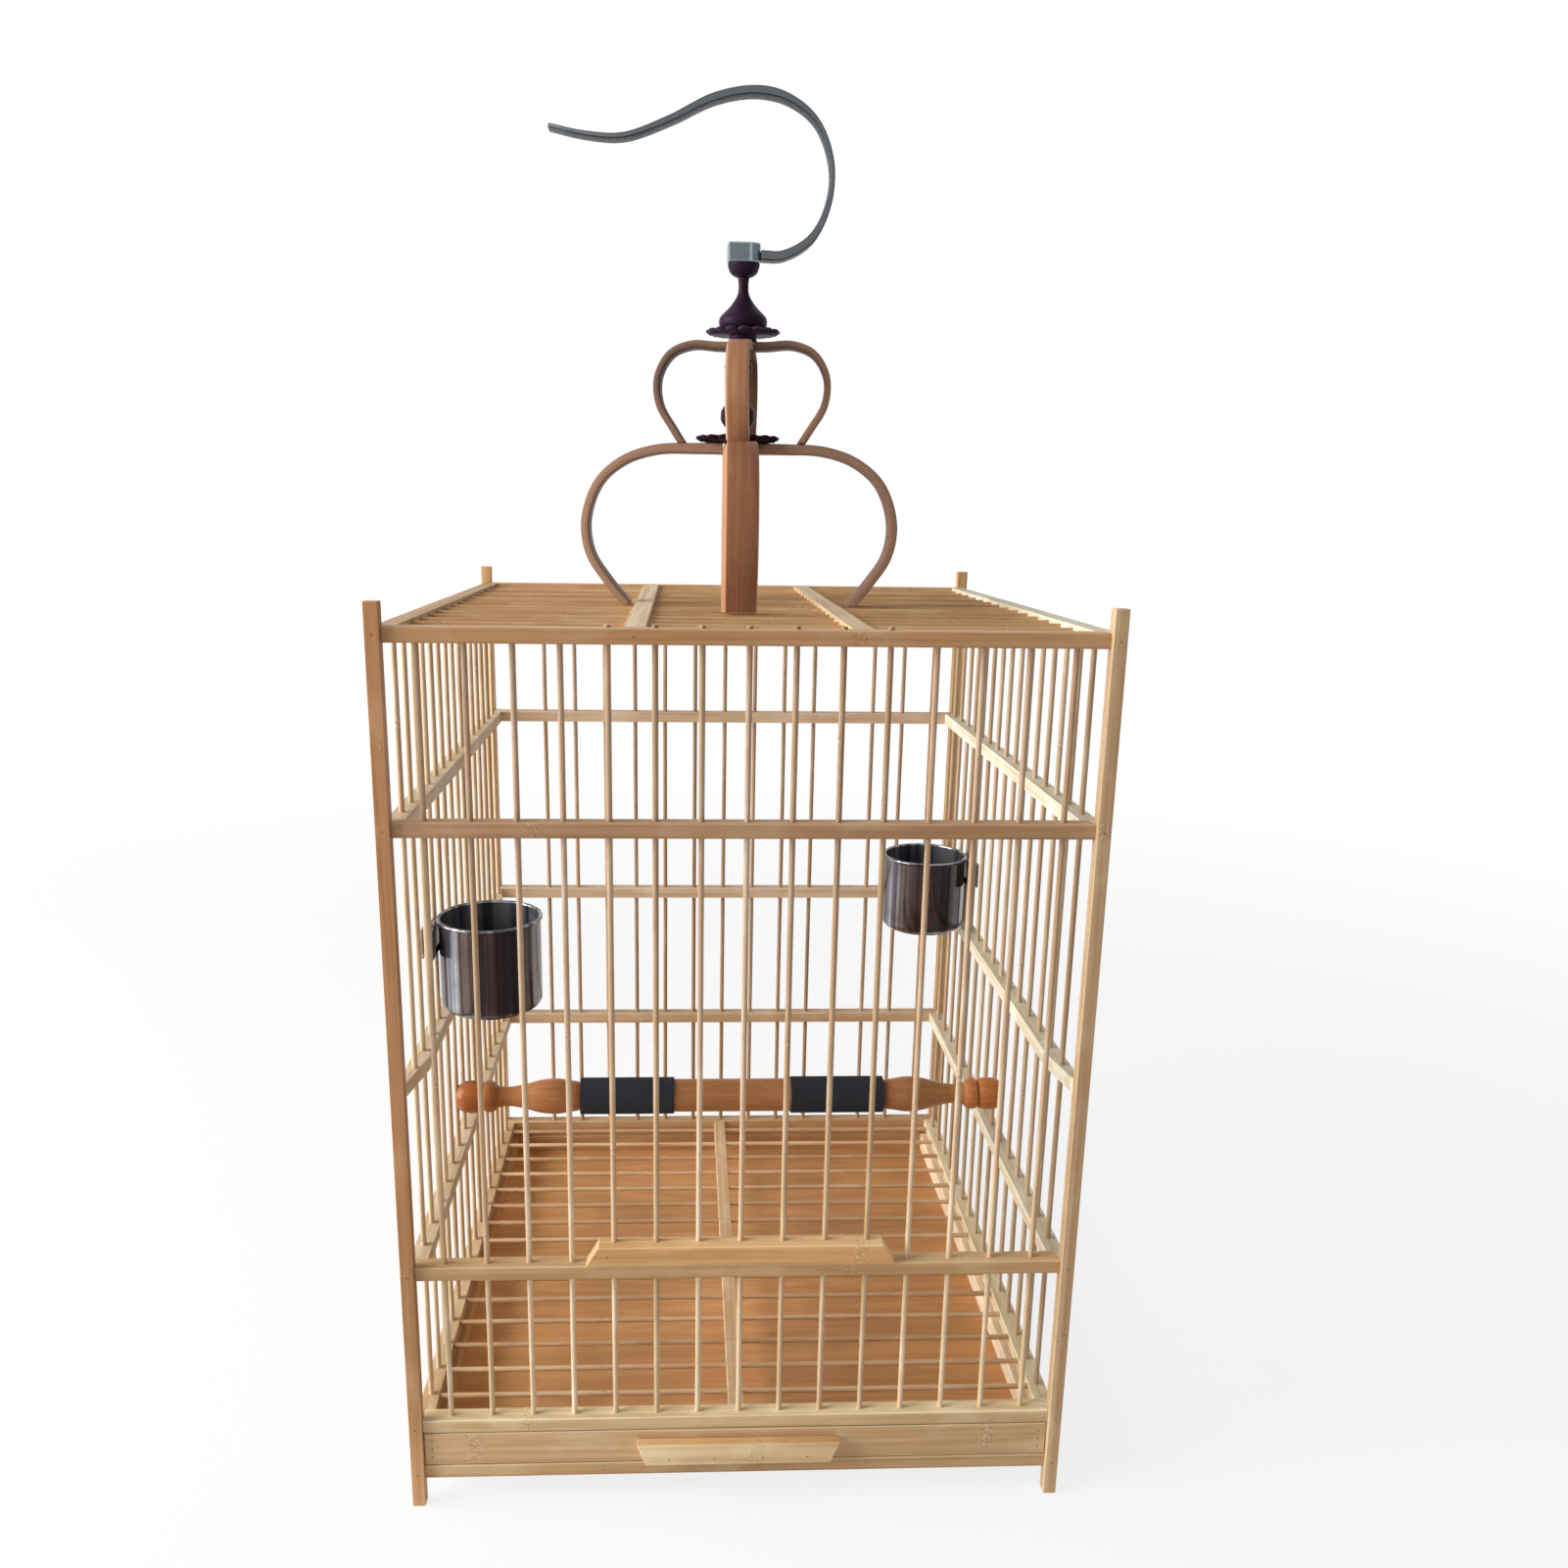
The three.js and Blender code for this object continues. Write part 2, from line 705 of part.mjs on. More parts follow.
// Heights stacked up the axis from the roof bars
const lowerHoopFoot = roofBarHeight + barRadius + fitGap;
const lowerCrown = hoopCrown(lowerHoop, lowerHoopFoot);
const crownDiscFoot = lowerCrown + lowerHoop.thickness / 2 + fitGap;
const upperHoopFoot = crownDiscFoot;
const upperCrown = hoopCrown(upperHoop, upperHoopFoot);
const stemFoot = crownDiscFoot + crownDiscHeight + fitGap;
const stemTop = upperCrown - upperHoop.thickness / 2 - fitGap;
const petalHubFoot = upperCrown + upperHoop.thickness / 2 + fitGap;
const petalDiscFoot = petalHubFoot + petalHubHeight;
const bellFoot = petalDiscFoot + petalDiscHeight + fitGap;
const bellTop = bellFoot + bellHeight;
const headFoot = bellTop + fitGap;

function addHoops() {
  addHoopPair('lower', lowerHoop, lowerHoopFoot);
  addHoopPair('upper', upperHoop, upperHoopFoot);
}

// Turned and carved pieces between the hoops and the hook
function lobedDisc(radius, height, foot) {
  const edge = height / 3;
  const profile = [
    [0, foot],
    [radius * (1 - lobeShare), foot],
    [radius, foot + edge],
    [radius * (1 - lobeShare), foot + edge + edge],
    [radius / 2, foot + height],
    [0, foot + height],
  ];
  const points = profile.map(([r, z]) => new THREE.Vector2(r, z));
  const disc = new THREE.LatheGeometry(points, lobeSegments);
  const position = disc.attributes.position;
  for (let i = 0; i < position.count; i += 1) {
    const x = position.getX(i);
    const z = position.getZ(i);
    const wave = 1 - lobeShare * (1 - Math.abs(Math.cos((discLobes * Math.atan2(z, x)) / 2)));
    position.setX(i, x * wave);
    position.setZ(i, z * wave);
  }
  disc.rotateX(Math.PI / 2);
  return disc;
}

function turnedOnAxis(profile) {
  const points = profile.map(([r, z]) => new THREE.Vector2(r, z));
  const turned = new THREE.LatheGeometry(points, turnedSegments);
  turned.rotateX(Math.PI / 2);
  return turned;
}

function addTurnedPieces() {
  const crownDisc = lobedDisc(crownDiscRadius, crownDiscHeight, crownDiscFoot);
  addPiece('crown_disc', crownDisc, darkWood, 0.4);
  const stemHeight = stemTop - stemFoot;
  const stemSide = stemShares.map(([out, up]) => [out * stemRadius, stemFoot + up * stemHeight]);
  addPiece('stem', turnedOnAxis([[0, stemFoot], ...stemSide, [0, stemTop]]), darkWood, 0.4);
  const hubTop = petalDiscFoot + petalDiscHeight / 2;
  const hub = turnedOnAxis([
    [0, petalHubFoot],
    [petalHubRadius, petalHubFoot],
    [petalHubRadius, hubTop],
    [0, hubTop],
  ]);
  const petalDisc = joined([lobedDisc(petalDiscRadius, petalDiscHeight, petalDiscFoot), hub]);
  petalDisc.translate(upperHoop.shift, 0, 0);
  addPiece('petal_disc', petalDisc, darkWood, 0.4);
  const bellSide = bellShares.map(([out, up]) => [out * bellRadius, bellFoot + up * bellHeight]);
  const bore = [
    [pinBoreRadius, bellTop],
    [pinBoreRadius, bellTop - pinBoreDepth],
    [0, bellTop - pinBoreDepth],
  ];
  const bell = turnedOnAxis([[0, bellFoot], ...bellSide, ...bore]);
  bell.translate(upperHoop.shift, 0, 0);
  addPiece('bell', bell, darkWood, 0.4);
}

// Hook: a head block with a pin in the bell, and a flat bar bent into an open hook
function roundedBlock(width, depth, height, foot, corner) {
  const x = width / 2;
  const shape = new THREE.Shape();
  shape.absarc(x - corner, foot + corner, corner, -Math.PI / 2, 0, false);
  shape.absarc(x - corner, foot + height - corner, corner, 0, Math.PI / 2, false);
  shape.absarc(corner - x, foot + height - corner, corner, Math.PI / 2, Math.PI, false);
  shape.absarc(corner - x, foot + corner, corner, Math.PI, Math.PI * 1.5, false);
  const body = new THREE.ExtrudeGeometry(shape, { depth, bevelEnabled: false, curveSegments: 3 });
  body.rotateX(Math.PI / 2);
  body.translate(0, depth / 2, 0);
  return body;
}

function headFacet() {
  const right = headWidth / 2;
  const front = -headDepth / 2;
  const plan = [
    [right - headFacetWidth, front - headFacetWidth],
    [right + headFacetWidth, front - headFacetWidth],
    [right + headFacetWidth, front + headFacetDepth + headFacetDepth],
    [right - headFacetWidth, front],
  ];
  const shape = new THREE.Shape(plan.map(([x, y]) => new THREE.Vector2(x, y)));
  const facet = new THREE.ExtrudeGeometry(shape, { depth: 2 * headHeight, bevelEnabled: false });
  facet.translate(0, 0, headFoot - headHeight / 2);
  return facet;
}

function addHook() {
  const pin = uprightRod(0, 0, headFoot - pinLength, headFoot + headCorner, pinRadius);
  const body = cut(roundedBlock(headWidth, headDepth, headHeight, headFoot, headCorner), [headFacet()]);
  const head = joined([body, pin]);
  head.translate(upperHoop.shift, 0, 0);
  addPiece('hook_head', head, greyMetal, 0.45, 1);
  const lastShare = hookThicknessShares.length - 1;
  const thicknessAt = (share) => {
    const before = Math.min(Math.floor(share * lastShare), lastShare - 1);
    const [from, to] = hookThicknessShares.slice(before, before + 2);
    return hookRootThickness * THREE.MathUtils.lerp(from, to, share * lastShare - before);
  };
  const rootX = upperHoop.shift + headWidth / 2 + fitGap;
  const rootZ = headFoot + hookRootHeight;
  const bend = hookLineShares.map(([out, up]) => [upperHoop.shift + out * hookRise, rootZ + up * hookRise]);
  const hookBar = bentStrip([[rootX, rootZ], ...bend], hookStations, hookWidth, thicknessAt);
  addPiece('hook_bar', hookBar, greyMetal, 0.45, 1);
}

addPosts();
addTopRails();
addFloorRails();
for (const wall of ['back', 'left', 'right']) addBarWall(wall);
addFrontWall();
addDoor();
addBase();
addDrawer();
addFloorGrille();
addRoofGrille();
addPerch();
addCup('left', -1, leftCupY, leftCupRim);
addCup('right', 1, rightCupY, rightCupRim);
addCupClip('left', -1, leftCupY, leftCupRim);
addCupClip('right', 1, rightCupY, rightCupRim);
addHoops();
addTurnedPieces();
addHook();

export default cage;
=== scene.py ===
import json
import math
import random

import bmesh
import bpy
from bpy.props import FloatProperty, FloatVectorProperty, IntProperty, PointerProperty
from mathutils import Matrix, Vector


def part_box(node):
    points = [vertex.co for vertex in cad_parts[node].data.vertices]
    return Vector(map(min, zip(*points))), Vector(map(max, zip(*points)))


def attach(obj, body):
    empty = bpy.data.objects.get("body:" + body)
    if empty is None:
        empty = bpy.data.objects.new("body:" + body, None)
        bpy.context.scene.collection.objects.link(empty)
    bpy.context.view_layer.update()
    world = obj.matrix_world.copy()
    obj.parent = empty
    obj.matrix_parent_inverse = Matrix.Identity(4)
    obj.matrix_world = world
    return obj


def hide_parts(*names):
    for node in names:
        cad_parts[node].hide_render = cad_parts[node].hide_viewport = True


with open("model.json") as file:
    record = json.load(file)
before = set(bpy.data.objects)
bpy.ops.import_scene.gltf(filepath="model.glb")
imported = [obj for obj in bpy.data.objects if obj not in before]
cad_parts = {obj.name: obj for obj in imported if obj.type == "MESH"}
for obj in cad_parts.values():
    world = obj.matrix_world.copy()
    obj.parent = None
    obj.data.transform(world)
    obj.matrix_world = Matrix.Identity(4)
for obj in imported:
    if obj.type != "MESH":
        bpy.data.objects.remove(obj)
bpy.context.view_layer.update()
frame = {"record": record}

bl_info = {
    "name": "Bamboo birdcage",
    "version": (1, 0, 0),
    "blender": (4, 5, 0),
    "location": "3D View > Sidebar > Birdcage",
    "description": "Finished wood, steel and light for a square bamboo birdcage",
    "category": "Add Mesh",
}

BODY_OF = {
    node: body
    for body, members in frame["record"]["behaviour"]["bodies"].items()
    for node in members
}
X, Y, Z = 0, 1, 2


# Places read from the frame
def low(node, axis):
    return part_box(node)[0][axis]


def high(node, axis):
    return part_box(node)[1][axis]


def middle(node, axis):
    return (low(node, axis) + high(node, axis)) / 2


# Fixed bars at each side of the door
FIXED_BARS = 4
BAR_PITCH = middle("front_bar_2", X) - middle("front_bar_1", X)
BAR_RADIUS = (high("front_bar_1", X) - low("front_bar_1", X)) / 2
FRONT_STEPS = round(-middle("front_bar_1", X) / BAR_PITCH)
DOOR_STEPS = FRONT_STEPS - FIXED_BARS
SIDE_STEPS = FRONT_STEPS
BAR_FOOT = low("front_bar_1", Z)
BAR_TOP = high("front_bar_1", Z)
BAR_LINE_Y = -middle("front_bar_1", Y)
BAR_LINE_X = middle("floor_rail_right", X)
POST_INNER_X = low("post_front_right", X)
POST_INNER_Y = low("post_back_right", Y)
RAIL_INNER_X = low("floor_rail_right", X)
RAIL_INNER_Y = low("floor_rail_back", Y)
RAIL_OUTER_X = high("floor_rail_right", X)
RAIL_OUTER_Y = high("floor_rail_back", Y)
SEAT_GAP = 0.0003
SIDES = (("left", -1), ("right", 1))
TO_FRONT = (0, -1, 0)
TO_BACK = (0, 1, 0)

# The curve of a screen's colours
SCREEN_KNEE = 0.04045
SCREEN_SLOPE = 12.92
SCREEN_OFFSET = 0.055
SCREEN_POWER = 2.4


# Settings that a user would change
def linear(value):
    if value < SCREEN_KNEE:
        return value / SCREEN_SLOPE
    return ((value + SCREEN_OFFSET) / (1 + SCREEN_OFFSET)) ** SCREEN_POWER


def srgb(red, green, blue):
    """A colour written as 0 to 255, as linear light"""
    return tuple(linear(value / 255) for value in (red, green, blue))


def colour_setting(name, description, default):
    return FloatVectorProperty(
        name=name, description=description, default=default, subtype="COLOR", size=3, min=0, max=1
    )


def shares_setting(name, description, default):
    return FloatVectorProperty(name=name, description=description, default=default, size=3, min=0)


def length_setting(name, description, default):
    return FloatProperty(
        name=name, description=description, default=default, unit="LENGTH", min=0, precision=5
    )


class BambooSettings(bpy.types.PropertyGroup):
    """Colours and make of the split bamboo"""

    face: colour_setting("Face", "Face of a pale strip", srgb(198, 156, 110))
    streak: colour_setting("Streak", "Darker fibres of a pale strip", srgb(180, 136, 90))
    bright: colour_setting("Bright", "Planed edges and scars", srgb(226, 196, 152))
    blotch: colour_setting("Blotch", "Marks where a joint of the cane was", srgb(152, 110, 72))
    hoop_face: colour_setting("Hoop face", "Face of the bent hoops", srgb(156, 112, 84))
    hoop_streak: colour_setting("Hoop streak", "Darker fibres of the hoops", srgb(138, 95, 69))
    hoop_side: colour_setting("Hoop side", "Cut sides of the bent hoops", srgb(188, 147, 112))
    roof_face: colour_setting("Roof face", "Face of the roof strips", srgb(224, 202, 164))
    roof_streak: colour_setting("Roof streak", "Darker fibres of the roof strips", srgb(194, 162, 122))
    joint_spacing: length_setting("Joint spacing", "Along the cane between two joints", 0.27)
    joint_width: length_setting("Joint width", "Reach of the marks at a joint", 0.0065)
    wobble: length_setting("Wobble", "How far a round bar strays from straight", 0.0006)


class CageSettings(bpy.types.PropertyGroup):
    """Sizes of the boards, bars and nails"""

    ease: length_setting("Ease", "Width of the eased edges of a board", 0.00035)
    hole_play: length_setting("Hole play", "Room round a sliding bar in its hole", 0.0003)
    bar_sides: IntProperty(name="Bar sides", description="Faces round a bar", default=12, min=6)
    bar_rings: IntProperty(name="Bar rings", description="Rings along a bar", default=16, min=1)
    nail_radius: length_setting("Nail radius", "Head of a nail", 0.00048)
    nail_proud: length_setting("Nail proud", "Height of a nail's head over the wood", 0.0001)
    tray_board: length_setting("Tray board", "Thickness of the tray's boards", 0.003)
    tray_side: length_setting("Tray side", "Thickness of the tray's side walls", 0.0065)
    strip_half: length_setting("Roof strip half width", "Half the width of a roof strip", 0.005)
    strip_place: length_setting("Roof strip place", "Roof strip from the middle", 0.052)
    strip_height: length_setting("Roof strip height", "Thickness of a roof strip", 0.0046)


class PerchSettings(bpy.types.PropertyGroup):
    """Colours and sizes of the perch"""

    face: colour_setting("Face", "Varnished dowel", srgb(186, 126, 80))
    streak: colour_setting("Streak", "Darker grain of the dowel", srgb(164, 106, 64))
    sleeve: colour_setting("Sleeve", "Abrasive cloth", srgb(50, 53, 59))
    grit: colour_setting("Grit", "Grains of the abrasive cloth", srgb(88, 90, 92))
    dowel_radius: length_setting("Dowel radius", "Plain part of the dowel", 0.0096)
    sleeve_bore: length_setting("Sleeve bore", "Inside of a sleeve", 0.0099)


class CupSettings(bpy.types.PropertyGroup):
    """Colours and sizes of the cups and clips"""

    steel: colour_setting("Steel", "Polished dark steel of the cups", srgb(104, 94, 90))
    steel_dark: colour_setting("Dark steel", "Darker draw marks of the cups", srgb(46, 36, 38))
    # Painted light: the clip steel is much lighter than the clips' own grey, so that plates lying in
    # shade show
    clip_steel: colour_setting("Clip steel", "Pressed steel of the clips", srgb(205, 195, 183))
    # The rim tone is a painted highlight, the inside tone a painted sheen and the lug tone painted
    # light that lifts the lug out of its shade
    rim_highlight_tone: shares_setting("Rim tone", "How much brighter the worn rim is", (2.7, 3.5, 4.0))
    inside_sheen_tone: shares_setting("Inside tone", "How the inside differs", (3.4, 4.5, 5.4))
    lug_light_tone: shares_setting("Lug tone", "How much brighter the lug is", (6.0, 6.3, 6.2))
    rim_band: length_setting("Rim band", "Height of the bright rim", 0.001)
    wall: length_setting("Wall", "Thickness of a cup's sheet", 0.0012)
    body_radius: length_setting("Body radius", "Outside of a cup's wall", 0.0266)
    foot_corner: length_setting("Foot corner", "Rounding at a cup's foot", 0.005)
    plate: length_setting("Plate", "Thickness of a clip's sheet", 0.0012)
    clip_from_bars: length_setting("Clip from bars", "From the bar line to a plate", 0.0022)
    inner_half: length_setting("Inner half", "Half width of a clip's inner plate", 0.02)
    outer_half: length_setting("Outer half", "Half width of a clip's outer plate", 0.01)
    bridge_half: length_setting("Bridge half", "Half width of a clip's bridge", 0.005)
    bridge_height: length_setting("Bridge height", "Height of a clip's bridge", 0.005)
    lug_half: length_setting("Lug half", "Half width of a cup's lug", 0.006)
    lug_near: length_setting("Lug near", "From the bar line to the lug's tab", 0.0006)
    lug_drop: length_setting("Lug drop", "From the rim down to the lug's arm", 0.0033)
    lug_length: length_setting("Lug length", "Height of the lug's tab", 0.0085)


class HangerSettings(bpy.types.PropertyGroup):
    """Colours and sizes of the hoops, the turned pieces and the hook"""

    dark_wood: colour_setting("Dark wood", "Waxed turned wood", srgb(44, 21, 35))
    dark_streak: colour_setting("Dark streak", "Darker grain of the turned wood", srgb(29, 14, 25))
    metal: colour_setting("Metal", "Satin grey of the hook", srgb(60, 64, 68))
    metal_dark: colour_setting("Dark metal", "Tarnish of the hook", srgb(53, 57, 61))
    head_tone: shares_setting("Head tone", "How much brighter the hook's head is", (3.3, 3.5, 3.5))
    lobes: IntProperty(name="Lobes", description="Petals round a disc", default=16, min=3)
    lobe_depth: FloatProperty(
        name="Lobe depth", description="Share of the radius cut between petals", default=0.11, min=0
    )
    hook_width: length_setting("Hook width", "Width of the flat bar", 0.011)
    hook_rise: length_setting("Hook rise", "From the hook's root to its crest", 0.07998)
    hook_root: length_setting("Hook root", "From the head's foot up to the bar's root", 0.0038)


class StageSettings(bpy.types.PropertyGroup):
    """Light, floor and camera"""

    floor: colour_setting("Floor", "Plain pale floor", srgb(236, 236, 236))
    backdrop: colour_setting("Backdrop", "What shows behind the floor", (1, 1, 1))
    ambient: FloatProperty(name="Ambient", description="Even light from all round", default=0.3)
    key: FloatProperty(name="Key", description="Soft light at the left", default=80, unit="POWER")
    fill: FloatProperty(name="Fill", description="Soft light at the front", default=1.5, unit="POWER")
    camera_place: FloatVectorProperty(
        name="Camera place",
        description="Where the photograph was taken from",
        default=(-0.03026, -0.74681, 0.50854),
        subtype="TRANSLATION",
        unit="LENGTH",
    )
    turn: FloatProperty(
        name="Turn", description="Camera turned to the right", default=0.0461, unit="ROTATION"
    )
    tilt: FloatProperty(
        name="Tilt", description="Camera tilted down", default=0.2432, unit="ROTATION"
    )
    roll: FloatProperty(
        name="Roll", description="Camera rolled about its view", default=0.0138, unit="ROTATION"
    )


SETTINGS = {
    "birdcage_bamboo": BambooSettings,
    "birdcage_cage": CageSettings,
    "birdcage_perch": PerchSettings,
    "birdcage_cups": CupSettings,
    "birdcage_hanger": HangerSettings,
    "birdcage_stage": StageSettings,
}


def settings(group):
    return getattr(bpy.context.scene, f"birdcage_{group}")


def bamboo():
    return settings("bamboo")


def cage():
    return settings("cage")


# Node trees, for materials and for geometry alike
def add_node(tree, kind, inputs=(), **values):
    """One node with its settings, and its inputs linked or set"""
    node = tree.nodes.new(kind)
    for name, value in values.items():
        setattr(node, name, value)
    for key, value in dict(inputs).items():
        if isinstance(value, bpy.types.NodeSocket):
            tree.links.new(value, node.inputs[key])
        else:
            node.inputs[key].default_value = value
    return node


def maths(tree, operation, first, second=0.0, third=0.0):
    inputs = {0: first, 1: second, 2: third}
    return add_node(tree, "ShaderNodeMath", inputs, operation=operation).outputs[0]


def vector_maths(tree, operation, inputs, output=0):
    return add_node(tree, "ShaderNodeVectorMath", inputs, operation=operation).outputs[output]


def eased_range(tree, value, from_low, from_high, to_low=0.0, to_high=1.0):
    inputs = {0: value, 1: from_low, 2: from_high, 3: to_low, 4: to_high}
    node = add_node(tree, "ShaderNodeMapRange", inputs, interpolation_type="SMOOTHSTEP")
    return node.outputs[0]


def noise(tree, vector, scales, detail=3.0, rough=0.55, distortion=0.0):
    """Noise stretched by a scale for each axis"""
    inputs = {
        "Vector": vector_maths(tree, "MULTIPLY", {0: vector, 1: scales}),
        "Scale": 1.0,
        "Detail": detail,
        "Roughness": rough,
        "Distortion": distortion,
    }
    return add_node(tree, "ShaderNodeTexNoise", inputs).outputs[0]


def mixed(tree, factor, first, second, kind="MIX"):
    """Two colours mixed, each a socket or a linear colour"""
    colours = [c if isinstance(c, bpy.types.NodeSocket) else (*c, 1) for c in (first, second)]
    inputs = {0: factor, 6: colours[0], 7: colours[1]}
    node = add_node(tree, "ShaderNodeMix", inputs, data_type="RGBA", blend_type=kind)
    return node.outputs[2]


def attribute(tree, name, output):
    return add_node(tree, "ShaderNodeAttribute", attribute_name=name).outputs[output]


def object_point(tree):
    return add_node(tree, "ShaderNodeTexCoord").outputs["Object"]


def new_material(name):
    material = bpy.data.materials.new(name)
    material.use_nodes = True
    material.node_tree.nodes.clear()
    return material, material.node_tree


SOCKETS = {
    "gloss": "Specular IOR Level",
    "metallic": "Metallic",
    "coat": "Coat Weight",
    "coat_roughness": "Coat Roughness",
}


def surface(tree, colour, roughness, bump, bump_depth, **values):
    """The shader itself: linked colour, roughness and bump, plain values on its other sockets"""
    bump_node = add_node(tree, "ShaderNodeBump", {"Height": bump, "Distance": bump_depth})
    shader = add_node(tree, "ShaderNodeBsdfPrincipled")
    # The tone attribute multiplies the colour: each piece's own tone, and on many pieces painted light
    # and shade as well
    colour = mixed(tree, 1.0, colour, attribute(tree, "tone", "Color"), "MULTIPLY")
    tree.links.new(colour, shader.inputs["Base Color"])
    tree.links.new(roughness, shader.inputs["Roughness"])
    tree.links.new(bump_node.outputs[0], shader.inputs["Normal"])
    for name, value in values.items():
        shader.inputs[SOCKETS[name]].default_value = value
    add_node(tree, "ShaderNodeOutputMaterial", {"Surface": shader.outputs[0]})


# Noise as cycles a metre along the three axes, and its detail and roughness
NOISES = {
    "cane_broad": ((8, 300, 300), 3),
    "cane_fine": ((26, 1900, 1900), 2),
    "cane_cloud": ((30, 60, 60), 3),
    "cane_waver": ((90, 260, 260), 1),
    "cane_scars": ((700, 1500, 1500), 4, 0.7),
    "wood_pores": ((70, 1600, 1600), 2),
    "wood_cloud": ((10, 24, 24), 3),
    "cloth_wear": ((90, 90, 90), 4),
    "metal_cloud": ((60, 60, 60), 4),
}

# Where a value starts and ends to count, and what it gives there
RANGES = {
    "cane_streaks": (0.36, 0.68),
    "cane_fine_streaks": (0.5, 0.8, 0, 0.5),
    "cane_bright_clouds": (0.45, 0.75, 0, 0.35),
    "cane_dark_scars": (0.46, 0.62, 0, 0.65),
    "cane_pale_scars": (0.48, 0.36, 0, 0.7),
    "cane_worn_and_highlit_edges": (0.2, 0.7, 0.4, 1),
    "cane_pores": (0.15, 0.4, 0.55, 0),
    "cane_roughness": (0.2, 0.8, 0.42, 0.62),
    "wood_rings": (0, 0.5, 0, 0.6),
    "wood_pores": (0.55, 0.75, 0, 0.6),
    "wood_shade": (0.3, 0.7, 0.86, 1.12),
    "cloth_grains": (0.05, 0.5, 1, 0),
    "cloth_bare": (0.35, 0.65, 0.3, 1),
    "cloth_roughness": (0.3, 0.7, 0.8, 0.95),
    "metal_cloud": (0.4, 0.7, 0, 0.4),
    "metal_marks": (0.35, 0.65),
}
ROUGHNESS_RANGE = (0.3, 0.7)
PORES_A_METRE = 1500
GRAINS_A_METRE = 2200
CANE_BUMP = 0.00014
CLOTH_BUMP = 0.0003
END_BRIGHT_SHARE = 0.6
JOINT_CORE_SHARE = 0.2
RING_COUNT = 7
RING_BEND = 0.4
WORN_AND_HIGHLIT_METAL_SHARE = 0.2


def noise_of(tree, vector, name):
    return noise(tree, vector, *NOISES[name])


def range_of(tree, value, name):
    return eased_range(tree, value, *RANGES[name])


def product(tree, first, second):
    return maths(tree, "MULTIPLY", first, second)


# Woods
def joint_band(tree, grain):
    """1 at the joints of the cane, which stand at even steps along it"""
    along = add_node(tree, "ShaderNodeSeparateXYZ", {0: grain}).outputs[0]
    width = bamboo().joint_width
    shifted = maths(tree, "MULTIPLY_ADD", noise_of(tree, grain, "cane_waver"), width, along)
    half = bamboo().joint_spacing / 2
    from_joint = maths(tree, "ABSOLUTE", maths(tree, "WRAP", shifted, half, -half))
    return eased_range(tree, from_joint, width * JOINT_CORE_SHARE, width, 1, 0)


def split_bamboo(name, face, streak, bright):
    """Split and planed cane: long fibres, blotched joints, worn edges with a painted highlight along
    them, and pored ends
    """
    blotch = bamboo().blotch
    material, tree = new_material(name)
    grain = attribute(tree, "grain", "Vector")
    broad = noise_of(tree, grain, "cane_broad")
    fine = noise_of(tree, grain, "cane_fine")
    cloud = noise_of(tree, grain, "cane_cloud")
    colour = mixed(tree, range_of(tree, broad, "cane_streaks"), face, streak)
    colour = mixed(tree, range_of(tree, fine, "cane_fine_streaks"), colour, streak)
    colour = mixed(tree, range_of(tree, cloud, "cane_bright_clouds"), colour, bright)
    band = joint_band(tree, grain)
    scars = noise_of(tree, grain, "cane_scars")
    dark = product(tree, band, range_of(tree, scars, "cane_dark_scars"))
    colour = mixed(tree, dark, colour, blotch)
    pale = product(tree, band, range_of(tree, scars, "cane_pale_scars"))
    colour = mixed(tree, pale, colour, bright)
    # Worn edges, partly a painted highlight along them
    edge = attribute(tree, "edge", "Fac")
    worn = product(tree, edge, range_of(tree, fine, "cane_worn_and_highlit_edges"))
    colour = mixed(tree, worn, colour, bright)
    cells = {"Vector": grain, "Scale": PORES_A_METRE}
    pores = add_node(tree, "ShaderNodeTexVoronoi", cells).outputs[0]
    end = attribute(tree, "end", "Fac")
    colour = mixed(tree, product(tree, end, END_BRIGHT_SHARE), colour, bright)
    colour = mixed(tree, product(tree, end, range_of(tree, pores, "cane_pores")), colour, blotch)
    surface(tree, colour, range_of(tree, fine, "cane_roughness"), fine, CANE_BUMP, gloss=0.2)
    return material


def pale_bamboo(name):
    s = bamboo()
    return split_bamboo(name, s.face, s.streak, s.bright)


def brown_bamboo(name):
    s = bamboo()
    return split_bamboo(name, s.hoop_face, s.hoop_streak, s.hoop_side)


def roof_bamboo(name):
    s = bamboo()
    return split_bamboo(name, s.roof_face, s.roof_streak, s.bright)


def figured_wood(name, face, streak, scales, bump, roughness, **values):
    """Sawn or turned wood: wavering growth rings and short pores"""
    material, tree = new_material(name)
    grain = attribute(tree, "grain", "Vector")
    growth = noise(tree, grain, scales, detail=2, distortion=RING_BEND)
    rings = maths(tree, "PINGPONG", product(tree, growth, RING_COUNT), 0.5)
    pores = noise_of(tree, grain, "wood_pores")
    cloud = noise_of(tree, grain, "wood_cloud")
    colour = mixed(tree, range_of(tree, rings, "wood_rings"), face, streak)
    colour = mixed(tree, range_of(tree, pores, "wood_pores"), colour, streak)
    shade = {"Value": range_of(tree, cloud, "wood_shade"), "Color": colour}
    colour = add_node(tree, "ShaderNodeHueSaturation", shade).outputs[0]
    rough = eased_range(tree, pores, *ROUGHNESS_RANGE, *roughness)
    surface(tree, colour, rough, pores, bump, **values)
    return material


def tray_wood(name):
    colours = (srgb(206, 160, 113), srgb(188, 141, 96))
    kind = {"scales": (4, 40, 40), "bump": 0.0001, "roughness": (0.45, 0.6), "gloss": 0.2}
    return figured_wood(name, *colours, **kind)


